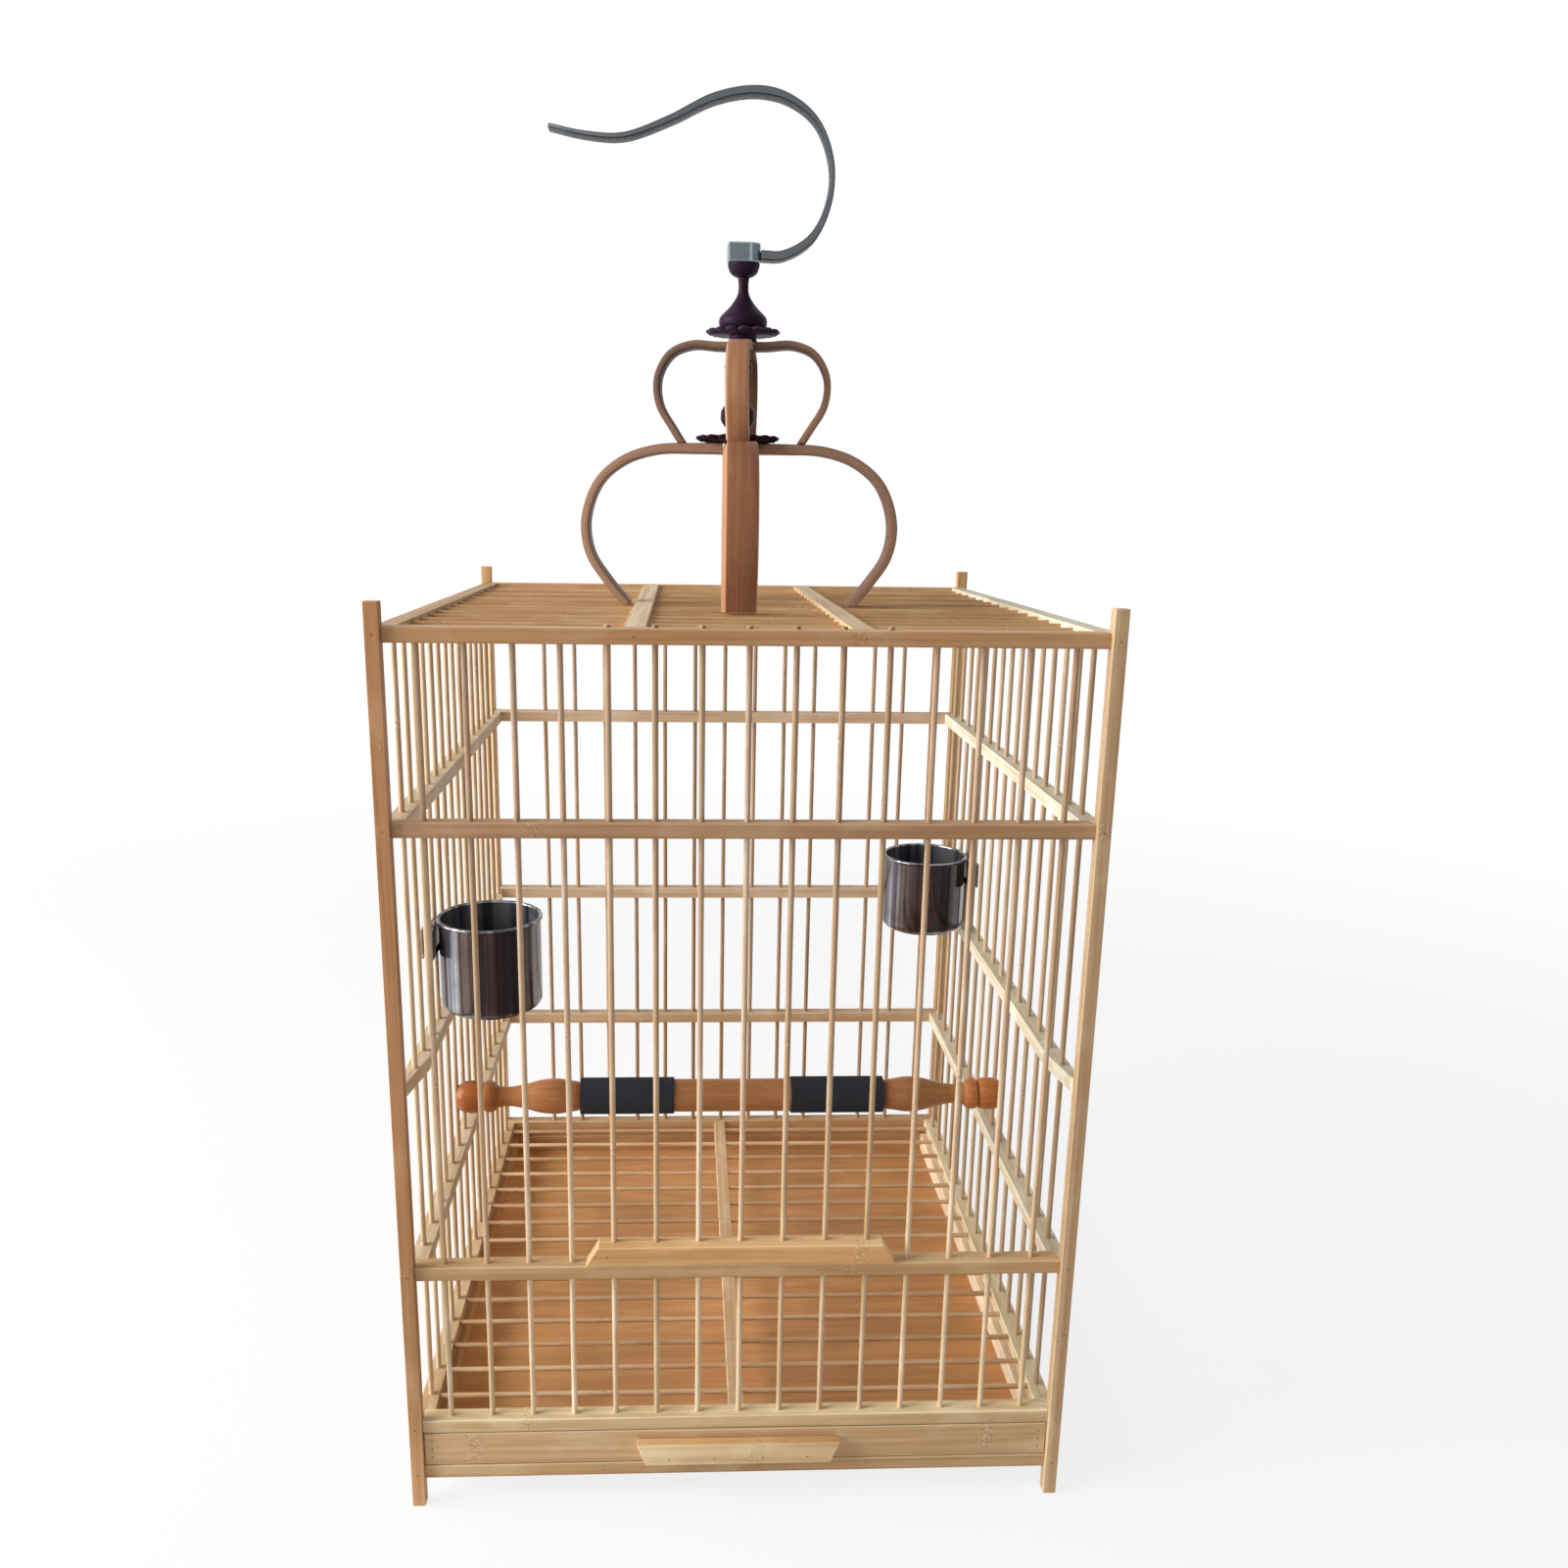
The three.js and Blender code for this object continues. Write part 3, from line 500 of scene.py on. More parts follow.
def turned_wood(name):
    s = settings("perch")
    kind = {"scales": (9, 120, 120), "bump": 0.00003, "roughness": (0.26, 0.34)}
    varnish = {"gloss": 0.12, "coat": 0.12, "coat_roughness": 0.07}
    return figured_wood(name, s.face, s.streak, **kind, **varnish)


def dark_wood(name):
    s = settings("hanger")
    kind = {"scales": (14, 160, 160), "bump": 0.00008, "roughness": (0.34, 0.46), "gloss": 0.06}
    return figured_wood(name, s.dark_wood, s.dark_streak, **kind)


# Cloth and metals
def sandpaper(name):
    s = settings("perch")
    material, tree = new_material(name)
    point = object_point(tree)
    cells = {"Vector": point, "Scale": GRAINS_A_METRE}
    cells = add_node(tree, "ShaderNodeTexVoronoi", cells).outputs[0]
    grains = range_of(tree, cells, "cloth_grains")
    wear = noise_of(tree, point, "cloth_wear")
    bare = product(tree, grains, range_of(tree, wear, "cloth_bare"))
    colour = mixed(tree, bare, s.sleeve, s.grit)
    surface(tree, colour, range_of(tree, wear, "cloth_roughness"), grains, CLOTH_BUMP, gloss=0.1)
    return material


def brushed(name, colour, dark, scales, roughness, bump, metallic=1.0):
    """Metal with fine marks along one way and a cloud of tarnish"""
    material, tree = new_material(name)
    point = object_point(tree)
    marks = noise(tree, point, scales, detail=2)
    cloud = noise_of(tree, point, "metal_cloud")
    tone = mixed(tree, range_of(tree, cloud, "metal_cloud"), colour, dark)
    tone = mixed(tree, range_of(tree, marks, "metal_marks"), tone, dark)
    # Worn edges, partly a painted highlight along them
    worn = product(tree, attribute(tree, "edge", "Fac"), WORN_AND_HIGHLIT_METAL_SHARE)
    tone = mixed(tree, worn, tone, srgb(170, 174, 178))
    rough = eased_range(tree, marks, *ROUGHNESS_RANGE, *roughness)
    surface(tree, tone, rough, marks, bump, metallic=metallic)
    return material


def cup_steel(name):
    s = settings("cups")
    kind = {"scales": (170, 170, 2), "roughness": (0.1, 0.17), "bump": 0.00001}
    return brushed(name, s.steel, s.steel_dark, **kind, metallic=0.8)


def clip_steel(name):
    # Both colours lightened as painted light on plates that lie in shade
    colours = (settings("cups").clip_steel, srgb(124, 114, 104))
    kind = {"scales": (900, 900, 90), "roughness": (0.28, 0.42), "bump": 0.00004}
    return brushed(name, *colours, **kind, metallic=0.1)


def grey_metal(name):
    s = settings("hanger")
    kind = {"scales": (700, 500, 700), "roughness": (0.4, 0.5), "bump": 0.00004}
    return brushed(name, s.metal, s.metal_dark, **kind)


def nail_steel(name):
    kind = {"scales": (1500, 1500, 1500), "roughness": (0.4, 0.6), "bump": 0.00005}
    return brushed(name, srgb(96, 78, 62), srgb(60, 44, 34), **kind)


CANES = (pale_bamboo, brown_bamboo, roof_bamboo)
WOODS = (tray_wood, turned_wood, dark_wood)
METALS = (cup_steel, clip_steel, grey_metal, nail_steel)
FINISHES = {make.__name__: make for make in (*CANES, *WOODS, sandpaper, *METALS)}


def finish(name):
    """A finish by its slot's name, made once"""
    own_name = f"{name}_finish"
    return bpy.data.materials.get(own_name) or FINISHES[name](own_name)


# Mesh building
def plan_point(axis, first, second, depth):
    """An outline point at a depth along an axis: X takes (y, z), Y takes (x, z), Z takes (x, y)"""
    return {X: (depth, first, second), Y: (first, depth, second), Z: (first, second, depth)}[axis]


def to_mesh(shape, name):
    mesh = bpy.data.meshes.new(name)
    shape.to_mesh(mesh)
    shape.free()
    return mesh


EASED_EDGE = {"segments": 2, "profile": 0.5, "affect": "EDGES"}


def prism(outline, axis, start, end, ease=None):
    """Closed prism of an outline, its edges eased and the eased points marked"""
    shape = bmesh.new()
    rims = []
    for depth in (start, end):
        rims.append([shape.verts.new(plan_point(axis, *point, depth)) for point in outline])
    for rim in rims:
        shape.faces.new(rim)
    for i in range(len(outline)):
        j = (i + 1) % len(outline)
        shape.faces.new((rims[0][i], rims[0][j], rims[1][j], rims[1][i]))
    bmesh.ops.recalc_face_normals(shape, faces=shape.faces)
    edge = shape.verts.layers.float.new("edge")
    offset = cage().ease if ease is None else ease
    eased = bmesh.ops.bevel(shape, geom=list(shape.edges), offset=offset, **EASED_EDGE)
    rounded = set(eased["faces"])
    for vert in shape.verts:
        vert[edge] = float(all(face in rounded for face in vert.link_faces))
    return to_mesh(shape, "prism")


def box_outline(first_low, first_high, second_low, second_high):
    return [
        (first_low, second_low),
        (first_high, second_low),
        (first_high, second_high),
        (first_low, second_high),
    ]


def block(lows, highs, ease=None):
    outline = box_outline(lows[X], highs[X], lows[Y], highs[Y])
    return prism(outline, Z, lows[Z], highs[Z], ease)


def joined(meshes):
    shape = bmesh.new()
    for mesh in meshes:
        shape.from_mesh(mesh)
        bpy.data.meshes.remove(mesh)
    return to_mesh(shape, "joined")


def link_object(name, data):
    linked = bpy.data.objects.new(name, data)
    bpy.context.scene.collection.objects.link(linked)
    return linked


def applied(mesh, kind, **values):
    """A mesh with one modifier worked into it"""
    holder = link_object("holder", mesh)
    modifier = holder.modifiers.new("work", kind)
    for name, value in values.items():
        setattr(modifier, name, value)
    graph = bpy.context.evaluated_depsgraph_get()
    result = bpy.data.meshes.new_from_object(holder.evaluated_get(graph))
    bpy.data.objects.remove(holder)
    bpy.data.meshes.remove(mesh)
    return result


def without(mesh, tool_mesh):
    """A mesh with a tool cut out of it"""
    tool = link_object("tool", tool_mesh)
    result = applied(mesh, "BOOLEAN", operation="DIFFERENCE", solver="MANIFOLD", object=tool)
    bpy.data.objects.remove(tool)
    bpy.data.meshes.remove(tool_mesh)
    return result


HOLE_SIDES = 24


def rods(places, start, end, radius):
    """Plain upright rods, used to drill holes"""
    shape = bmesh.new()
    for x, y in places:
        bmesh.ops.create_cone(
            shape, cap_ends=True, segments=HOLE_SIDES, radius1=radius, radius2=radius,
            depth=end - start, matrix=Matrix.Translation((x, y, (start + end) / 2)),
        )
    return to_mesh(shape, "rods")


def cut_across(mesh, places, axis=Z):
    """A board with rings of points at some places along an axis"""
    shape = bmesh.new()
    shape.from_mesh(mesh)
    bpy.data.meshes.remove(mesh)
    for along in places:
        parts = [*shape.verts, *shape.edges, *shape.faces]
        point, way = plan_point(axis, 0, 0, along), plan_point(axis, 0, 0, 1)
        bmesh.ops.bisect_plane(shape, geom=parts, plane_co=point, plane_no=way)
    return to_mesh(shape, "cut")


END_FACING = 0.8
CHANCE_LIGHT = (0.88, 1.1)
CHANCE_PALE = (-0.06, 0.1)


def dress(mesh, fibre, name, joint_at=0.0):
    """Marks each point's place in its own strip, which faces are cut ends, and the strip's tone"""
    chance = random.Random(name)
    shifts = (chance.uniform(-1, 1), chance.uniform(-1, 1))
    first, second = [axis for axis in (X, Y, Z) if axis != fibre]
    places = []
    for vert in mesh.vertices:
        co = vert.co
        places += (co[fibre] - joint_at, co[first] + shifts[0], co[second] + shifts[1])
    mark(mesh, "grain", "FLOAT_VECTOR", "POINT", places)
    # The tone from the table carries painted light and shade on many pieces
    tone_mesh(mesh, PIECE_TONE_AND_LIGHT_SHARES.get(name) or chance_tone(chance))
    cut_ends = [float(abs(face.normal[fibre]) > END_FACING) for face in mesh.polygons]
    mark(mesh, "end", "FLOAT", "FACE", cut_ends)
    return mesh


def chance_tone(chance):
    """How one strip of wood differs from the common colour"""
    light = chance.uniform(*CHANCE_LIGHT)
    pale = chance.uniform(*CHANCE_PALE)
    return (light, light * (1 + pale), light * (1 + 2 * pale))


def inner_places(table, start=0, sign=1):
    """Where a board is cut so that a table of (place, tone) shows on it"""
    return [start + sign * place for place, tone in table[1:-1]]


def tone_at(table, value):
    """The tone at a value, between the entries of a table of (value, tone)"""
    value = min(max(value, table[0][0]), table[-1][0])
    for (before, first), (after, second) in zip(table, table[1:]):
        if value <= after:
            share = (value - before) / (after - before)
            return [a + (b - a) * share for a, b in zip(first, second)]


def retone(mesh, table, value_of):
    """Multiplies the tone of each point by a table's tone for its place"""
    for vert, tone in zip(mesh.vertices, mesh.attributes["tone"].data):
        tone.vector = [a * b for a, b in zip(tone.vector, tone_at(table, value_of(vert.co)))]


def tone_mesh(mesh, tone):
    mark(mesh, "tone", "FLOAT_VECTOR", "POINT", list(tone) * len(mesh.vertices))


def mark(mesh, name, kind, domain, values):
    """Writes one attribute of a mesh from a plain list"""
    layer = mesh.attributes.new(name, kind, domain)
    layer.data.foreach_set("vector" if kind == "FLOAT_VECTOR" else "value", values)


# From how many degrees on two faces meet in a sharp edge
SHARP_CARVED = 50
SHARP_TURNED = 40
SHARP_BOARD = 60


def smooth(mesh, sharp_degrees=SHARP_CARVED):
    for face in mesh.polygons:
        face.use_smooth = True
    mesh.set_sharp_from_angle(angle=math.radians(sharp_degrees))
    return mesh


def place(name, mesh, slot, nodes, material=None):
    """Links a finished mesh as one piece that rides on its body and stands for its nodes"""
    if "tone" not in mesh.attributes:
        tone_mesh(mesh, (1, 1, 1))
    piece = link_object(name, mesh)
    mesh.name = name
    mesh.materials.clear()
    mesh.materials.append(finish(material or slot))
    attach(piece, BODY_OF[nodes[0]])
    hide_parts(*nodes)
    return piece


def place_bars(name, bars, nodes):
    return place(name, smooth(bars), "pale_bamboo", nodes)


def place_boards(name, boards, slot, nodes):
    """Places flat-faced boards as one piece, their broad faces shaded flat"""
    mesh = applied(smooth(joined(boards), SHARP_BOARD), "WEIGHTED_NORMAL", keep_sharp=True)
    return place(name, mesh, slot, nodes)


def place_cane(name, node, *boards):
    return place_boards(name, boards, "pale_bamboo", [node])


# Turned shapes, and curves through a few points
def blend(first, second, start, end, at):
    return first * ((end - at) / (end - start)) + second * ((at - start) / (end - start))


def curve_through(points, steps):
    """A smooth run through points, with even knots from the distances between them"""
    path = [Vector(p) for p in points]
    path = [2 * path[0] - path[1], *path, 2 * path[-1] - path[-2]]
    run = [path[1]]
    for i in range(1, len(path) - 2):
        p0, p1, p2, p3 = path[i - 1 : i + 3]
        t0 = 0.0
        t1 = t0 + math.sqrt((p1 - p0).length)
        t2 = t1 + math.sqrt((p2 - p1).length)
        t3 = t2 + math.sqrt((p3 - p2).length)
        for step in range(1, steps + 1):
            t = t1 + (t2 - t1) * step / steps
            middle_leg = blend(p1, p2, t1, t2, t)
            before = blend(blend(p0, p1, t0, t1, t), middle_leg, t0, t2, t)
            after = blend(middle_leg, blend(p2, p3, t2, t3, t), t1, t3, t)
            run.append(blend(before, after, t1, t2, t))
    return run


OUTLINE_STEPS = 5


def outline_of(runs):
    """An outline of smooth runs that meet in corners"""
    points = []
    for run in runs:
        path = curve_through(run, OUTLINE_STEPS) if len(run) > 2 else [Vector(p) for p in run]
        points += path if not points else path[1:]
    return points


def skinned(shape, rings, name, closed=False, capped=False):
    """The mesh between neighbouring rings of points, where a ring may be a single pole"""
    pairs = list(zip(rings, rings[1:]))
    if closed:
        pairs.append((rings[-1], rings[0]))
    count = max(len(ring) for ring in rings)
    for lower, upper in pairs:
        for i in range(count):
            j = (i + 1) % count
            corners = [lower[i % len(lower)], lower[j % len(lower)]]
            corners += [upper[j % len(upper)], upper[i % len(upper)]]
            shape.faces.new(dict.fromkeys(corners))
    if capped:
        shape.faces.new(rings[0])
        shape.faces.new(rings[-1])
    bmesh.ops.recalc_face_normals(shape, faces=shape.faces)
    return to_mesh(shape, name)


POLE_RADIUS = 1e-7


def ring_angles(count):
    return [2 * math.pi * i / count for i in range(count)]


def lathed(profile, segments, axis=Z, centre=(0, 0, 0), closed=False):
    """A turned body from (radius, height) points, from pole to pole or closed on itself"""
    shape = bmesh.new()
    rings = []
    for radius, height in profile:
        angles = ring_angles(segments if radius > POLE_RADIUS else 1)
        points = [turned_point(axis, centre, radius, angle, height) for angle in angles]
        rings.append([shape.verts.new(point) for point in points])
    return skinned(shape, rings, "turned", closed)


def turned_point(axis, centre, radius, angle, height):
    first = radius * math.cos(angle)
    second = radius * math.sin(angle)
    return Vector(plan_point(axis, first, second, height)) + Vector(centre)


# Geometry nodes for what repeats
def new_tree(name, sockets):
    """An empty geometry tree with named inputs, and its input and output nodes"""
    tree = bpy.data.node_groups.new(name, "GeometryNodeTree")
    tree.interface.new_socket(name="Geometry", in_out="INPUT", socket_type="NodeSocketGeometry")
    for socket, kind in sockets.items():
        tree.interface.new_socket(name=socket, in_out="INPUT", socket_type=kind)
    tree.interface.new_socket(name="Geometry", in_out="OUTPUT", socket_type="NodeSocketGeometry")
    return tree, tree.nodes.new("NodeGroupInput").outputs, tree.nodes.new("NodeGroupOutput").inputs


def stored(tree, geometry, name, kind, domain, value):
    inputs = {"Geometry": geometry, "Name": name, "Value": value}
    node = add_node(tree, "GeometryNodeStoreNamedAttribute", inputs, data_type=kind, domain=domain)
    return node.outputs[0]


def named(tree, name, kind):
    node = add_node(tree, "GeometryNodeInputNamedAttribute", {"Name": name}, data_type=kind)
    return node.outputs[0]


def end_tree(tree, geometry, given, out):
    """Gives the finished geometry its material and sends it out"""
    painted = {0: geometry, "Material": given["Material"]}
    tree.links.new(add_node(tree, "GeometryNodeSetMaterial", painted).outputs[0], out[0])


# How far apart in the grain two strips can lie, and how quickly a bar strays along its length
STRIP_SHIFT = (3.1, 7.7, 5.3)
WOBBLE_SCALE = 6.0


def bar_row_tree():
    """Round bars at equal steps, each from its own strip and a little crooked"""
    sockets = {
        "Count": "NodeSocketInt",
        "Start": "NodeSocketVector",
        "Step": "NodeSocketVector",
        "Gap Half": "NodeSocketFloat",
        "Length": "NodeSocketFloat",
        "Radius": "NodeSocketFloat",
        "Turn": "NodeSocketVector",
        "Sides": "NodeSocketInt",
        "Rings": "NodeSocketInt",
        "Wobble": "NodeSocketFloat",
        "Seed": "NodeSocketInt",
        "Dark Tone": "NodeSocketVector",
        "Light Tone": "NodeSocketVector",
        "Material": "NodeSocketMaterial",
    }
    tree, given, out = new_tree("bar_row", sockets)
    line = {"Count": given["Count"], "Start Location": given["Start"], "Offset": given["Step"]}
    points = add_node(tree, "GeometryNodeMeshLine", line).outputs[0]
    place_of = add_node(tree, "GeometryNodeInputPosition").outputs[0]
    across = add_node(tree, "ShaderNodeSeparateXYZ", {0: place_of}).outputs
    in_gap = maths(tree, "LESS_THAN", maths(tree, "ABSOLUTE", across[X]), given["Gap Half"])
    cleared = {"Geometry": points, "Selection": in_gap}
    points = add_node(tree, "GeometryNodeDeleteGeometry", cleared).outputs[0]
    rod = {
        "Vertices": given["Sides"],
        "Side Segments": given["Rings"],
        "Radius": given["Radius"],
        "Depth": given["Length"],
    }
    bar = add_node(tree, "GeometryNodeMeshCylinder", rod).outputs
    fibre_first = {0: across[Z], 1: across[X], 2: across[Y]}
    along = add_node(tree, "ShaderNodeCombineXYZ", fibre_first).outputs[0]
    mesh = stored(tree, bar["Mesh"], "grain", "FLOAT_VECTOR", "POINT", along)
    ends = maths(tree, "MAXIMUM", bar["Top"], bar["Bottom"])
    mesh = stored(tree, mesh, "end", "FLOAT", "FACE", ends)
    copies = {"Points": points, "Instance": mesh, "Rotation": given["Turn"]}
    rows = add_node(tree, "GeometryNodeInstanceOnPoints", copies).outputs[0]
    chance = add_node(tree, "FunctionNodeRandomValue", {"Seed": given["Seed"]}, data_type="FLOAT")
    share = next(socket for socket in chance.outputs if socket.enabled)
    rows = stored(tree, rows, "tint", "FLOAT", "INSTANCE", share)
    bars = add_node(tree, "GeometryNodeRealizeInstances", {0: rows}).outputs[0]
    tint = named(tree, "tint", "FLOAT")
    shift = vector_maths(tree, "SCALE", {0: STRIP_SHIFT, "Scale": tint})
    grain = vector_maths(tree, "ADD", {0: named(tree, "grain", "FLOAT_VECTOR"), 1: shift})
    bars = stored(tree, bars, "grain", "FLOAT_VECTOR", "POINT", grain)
    span = {0: tint, 4: given["Dark Tone"], 5: given["Light Tone"]}
    tone = add_node(tree, "ShaderNodeMix", span, data_type="VECTOR").outputs[1]
    bars = stored(tree, bars, "tone", "FLOAT_VECTOR", "POINT", tone)
    waver = {"Vector": grain, "Scale": WOBBLE_SCALE, "Detail": 1.0}
    stray = add_node(tree, "ShaderNodeTexNoise", waver).outputs["Color"]
    centred = vector_maths(tree, "SUBTRACT", {0: stray, 1: (0.5, 0.5, 0.5)})
    moved = vector_maths(tree, "SCALE", {0: centred, "Scale": given["Wobble"]})
    bent = {"Geometry": bars, "Offset": moved}
    bars = add_node(tree, "GeometryNodeSetPosition", bent).outputs[0]
    end_tree(tree, bars, given, out)
    return tree


HEAD_FLATNESS = 0.4
HEAD_SEGMENTS = 10
HEAD_RINGS = 6


def nail_tree():
    """Low round heads on marked points, each facing its own way"""
    sockets = {"Radius": "NodeSocketFloat", "Material": "NodeSocketMaterial"}
    tree, given, out = new_tree("nail_heads", sockets)
    ball = {"Segments": HEAD_SEGMENTS, "Rings": HEAD_RINGS, "Radius": given["Radius"]}
    head = add_node(tree, "GeometryNodeMeshUVSphere", ball).outputs[0]
    flat = {"Geometry": head, "Scale": (1, 1, HEAD_FLATNESS)}
    head = add_node(tree, "GeometryNodeTransform", flat).outputs[0]
    aimed = {"Vector": named(tree, "facing", "FLOAT_VECTOR")}
    turn = add_node(tree, "FunctionNodeAlignRotationToVector", aimed, axis="Z").outputs[0]
    copies = {"Points": given[0], "Instance": head, "Rotation": turn}
    heads = add_node(tree, "GeometryNodeInstanceOnPoints", copies).outputs[0]
    heads = add_node(tree, "GeometryNodeRealizeInstances", {0: heads}).outputs[0]
    end_tree(tree, heads, given, out)
    return tree


def grown(tree, values, mesh=None):
    """The plain mesh that a tree makes from named values, set before it is first worked out"""
    source = mesh or bpy.data.meshes.new("seed")
    holder = bpy.data.objects.new("holder", source)
    modifier = holder.modifiers.new("grow", "NODES")
    modifier.node_group = tree
    sockets = {i.name: i.identifier for i in tree.interface.items_tree if i.in_out == "INPUT"}
    for socket, value in values.items():
        modifier[sockets[socket]] = value
    bpy.context.scene.collection.objects.link(holder)
    graph = bpy.context.evaluated_depsgraph_get()
    result = bpy.data.meshes.new_from_object(holder.evaluated_get(graph))
    bpy.data.objects.remove(holder)
    bpy.data.meshes.remove(source)
    return result


BAR_SEEDS = {
    "back": 0, "left": 1, "right": 2, "front": 11, "short": 12, "door": 13, "floor": 21, "roof": 22
}
BAR_TONE_SHARES = {
    "front": ((0.88, 0.98, 1.12), (1.18, 1.42, 1.92)),
    "back": ((0.66, 0.72, 0.85), (0.92, 1.06, 1.4)),
    "left": ((0.88, 1.0, 1.2), (1.18, 1.45, 2.0)),
    "right": ((0.9, 1.04, 1.35), (1.28, 1.62, 2.3)),
    "floor": ((1.05, 1.15, 1.35), (1.4, 1.6, 2.0)),
    "roof": ((0.78, 0.75, 0.74), (1.18, 1.22, 1.3)),
}
# Painted light up the front bars: paler towards the foot from the floor's light, painted shade at the
# top under the rail
FRONT_BAR_LIGHT_SHARES = [
    (0.04, (1.25, 1.38, 1.5)),
    (0.14, (1.2, 1.3, 1.4)),
    (0.2, (1.12, 1.16, 1.25)),
    (0.27, (0.96, 0.98, 1.05)),
    (0.36, (0.88, 0.88, 0.95)),
    (0.52, (0.78, 0.76, 0.82)),
    (0.55, (0.62, 0.56, 0.58)),
]
# Painted glare on the left wall's bars, paler towards the front
LEFT_BAR_GLARE_SHARES = [
    (-0.15, (1.3, 1.42, 1.6)),
    (-0.09, (1.2, 1.3, 1.42)),
    (-0.07, (1, 1, 1)),
    (0.2, (1, 1, 1)),
]


def bar_row(row, steps, start, step, length, seed, turn=(0, 0, 0), gap_half=0.0, wobble=None):
    """Bars of one row, as many steps each way from its middle"""
    tree = bpy.data.node_groups.get("bar_row") or bar_row_tree()
    dark, light = BAR_TONE_SHARES[row]
    values = {
        "Count": 2 * steps + 1,
        "Start": start,
        "Step": step,
        "Gap Half": gap_half,
        "Length": length,
        "Radius": BAR_RADIUS,
        "Turn": turn,
        "Sides": cage().bar_sides,
        "Rings": cage().bar_rings,
        "Wobble": bamboo().wobble if wobble is None else wobble,
        "Seed": BAR_SEEDS[seed],
        "Dark Tone": dark,
        "Light Tone": light,
        "Material": finish("pale_bamboo"),
    }
    return grown(tree, values)


def wall_row(wall, seed, foot, top, steps, gap_half=0.0, wobble=None):
    """Upright bars of one wall"""
    height = (foot + top) / 2
    reach = steps * BAR_PITCH
    starts = {
        "front": (-reach, -BAR_LINE_Y, height),
        "back": (-reach, BAR_LINE_Y, height),
        "left": (-BAR_LINE_X, -reach, height),
        "right": (BAR_LINE_X, -reach, height),
    }
    step = (BAR_PITCH, 0, 0) if wall in ("front", "back") else (0, BAR_PITCH, 0)
    options = {"gap_half": gap_half, "wobble": wobble}
    bars = bar_row(wall, steps, starts[wall], step, top - foot, seed, **options)
    # Painted light and shade up the front bars, and painted glare on the front of the left wall's bars
    if wall == "front":
        retone(bars, FRONT_BAR_LIGHT_SHARES, lambda co: co[Z])
    elif wall == "left":
        retone(bars, LEFT_BAR_GLARE_SHARES, lambda co: co[Y])
    return bars


def lying_row(row, node, height):
    """Bars that lie along X between the side rails"""
    start = (0, -SIDE_STEPS * BAR_PITCH, height)
    length = high(node, X) - low(node, X)
    turn = (0, math.pi / 2, 0)
    return bar_row(row, SIDE_STEPS, start, (0, BAR_PITCH, 0), length, row, turn)


def nails(name, places, node):
    """Nail heads as one piece; a place is a point and the way its head faces"""
    mesh = bpy.data.meshes.new("nail_points")
    out = cage().nail_proud - HEAD_FLATNESS * cage().nail_radius
    centres = [Vector(point) + out * Vector(facing) for point, facing in places]
    mesh.from_pydata(centres, [], [])
    ways = [part for point, facing in places for part in facing]
    mark(mesh, "facing", "FLOAT_VECTOR", "POINT", ways)
    tree = bpy.data.node_groups.get("nail_heads") or nail_tree()
    values = {"Radius": cage().nail_radius, "Material": finish("nail_steel")}
    heads = smooth(grown(tree, values, mesh))
    return place(name, heads, "pale_bamboo", [node], "nail_steel")


# Where a joint of the cane shows along a strip, from its middle or from the floor
JOINTS = {
    "post_front_right": 0.368,
    "post_front_left": 0.405,
    "post_back_left": 0.3,
    "post_back_right": 0.22,
    "top_rail_front": 0.052,
    "upper_rail_front": -0.095,
    "low_rail_front": 0.058,
    "floor_rail_front": -0.105,
    "drawer_front": -0.135,
    "drawer_handle": 0.012,
    "sliding_door": 0.064,
}

# How far from the middle a joint may lie by chance
JOINT_REACH = 0.13

# How each piece differs from the common colour: partly the wood's own colour, partly painted light and
# shade, such as the lit inner faces of the right wall and the tray's right wall, paler lower front
# boards and a darker crown disc
PIECE_TONE_AND_LIGHT_SHARES = {
    "post_front_left": (0.83, 0.71, 0.69),
    "post_front_right": (0.96, 1.05, 1.25),
    "post_back_left": (1.15, 1.2, 1.15),
    "post_back_right": (1.1, 1.1, 1.05),
    "top_rail_front": (0.88, 0.82, 0.85),
    "upper_rail_front": (0.8, 0.78, 0.88),
    "low_rail_front": (0.98, 1.02, 1.06),
    "floor_rail_front": (1.24, 1.5, 1.8),
    "drawer_front": (1.16, 1.3, 1.55),
    "base_rail_front": (1.03, 1.12, 1.25),
    "drawer_handle": (1.32, 1.62, 1.95),
    "top_rail_right": (1.4, 2.1, 3.3),
    "upper_rail_right": (1.5, 2.35, 3.9),
    "low_rail_right": (1.4, 2.1, 3.3),
    "floor_rail_right": (1.5, 2.1, 2.9),
    "right_bars_and_waist_rail": (1.46, 2.2, 3.5),
    "upper_rail_left": (1.15, 1.5, 2.1),
    "top_rail_left": (0.9, 0.93, 0.97),
    "upper_rail_back": (1.25, 1.5, 2.1),
    "back_bars_and_waist_rail": (1.3, 1.65, 2.4),
    "low_rail_back": (1.2, 1.45, 1.9),
    "floor_rail_back": (1.1, 1.2, 1.3),
    "floor_grille": (1.35, 1.6, 2.0),
    "left_bars_and_waist_rail": (1.2, 1.6, 2.3),
    "low_rail_left": (1.15, 1.5, 2.1),
    "floor_rail_left": (1.07, 1.25, 1.5),
    "tray 0": (0.97, 0.95, 0.93),
    "tray 3": (1.2, 1.3, 1.3),
    "tray 4": (1.7, 2.6, 4.2),
    "base_board_back": (1.6, 1.75, 1.75),
    "sliding_door": (1.22, 1.03, 0.82),
    "crown": (0.58, 0.48, 0.38),
    "petals": (2.1, 3.3, 3.6),
    "stem": (1.2, 1.1, 1.0),
    "bell": (1.1, 1.35, 1.5),
}

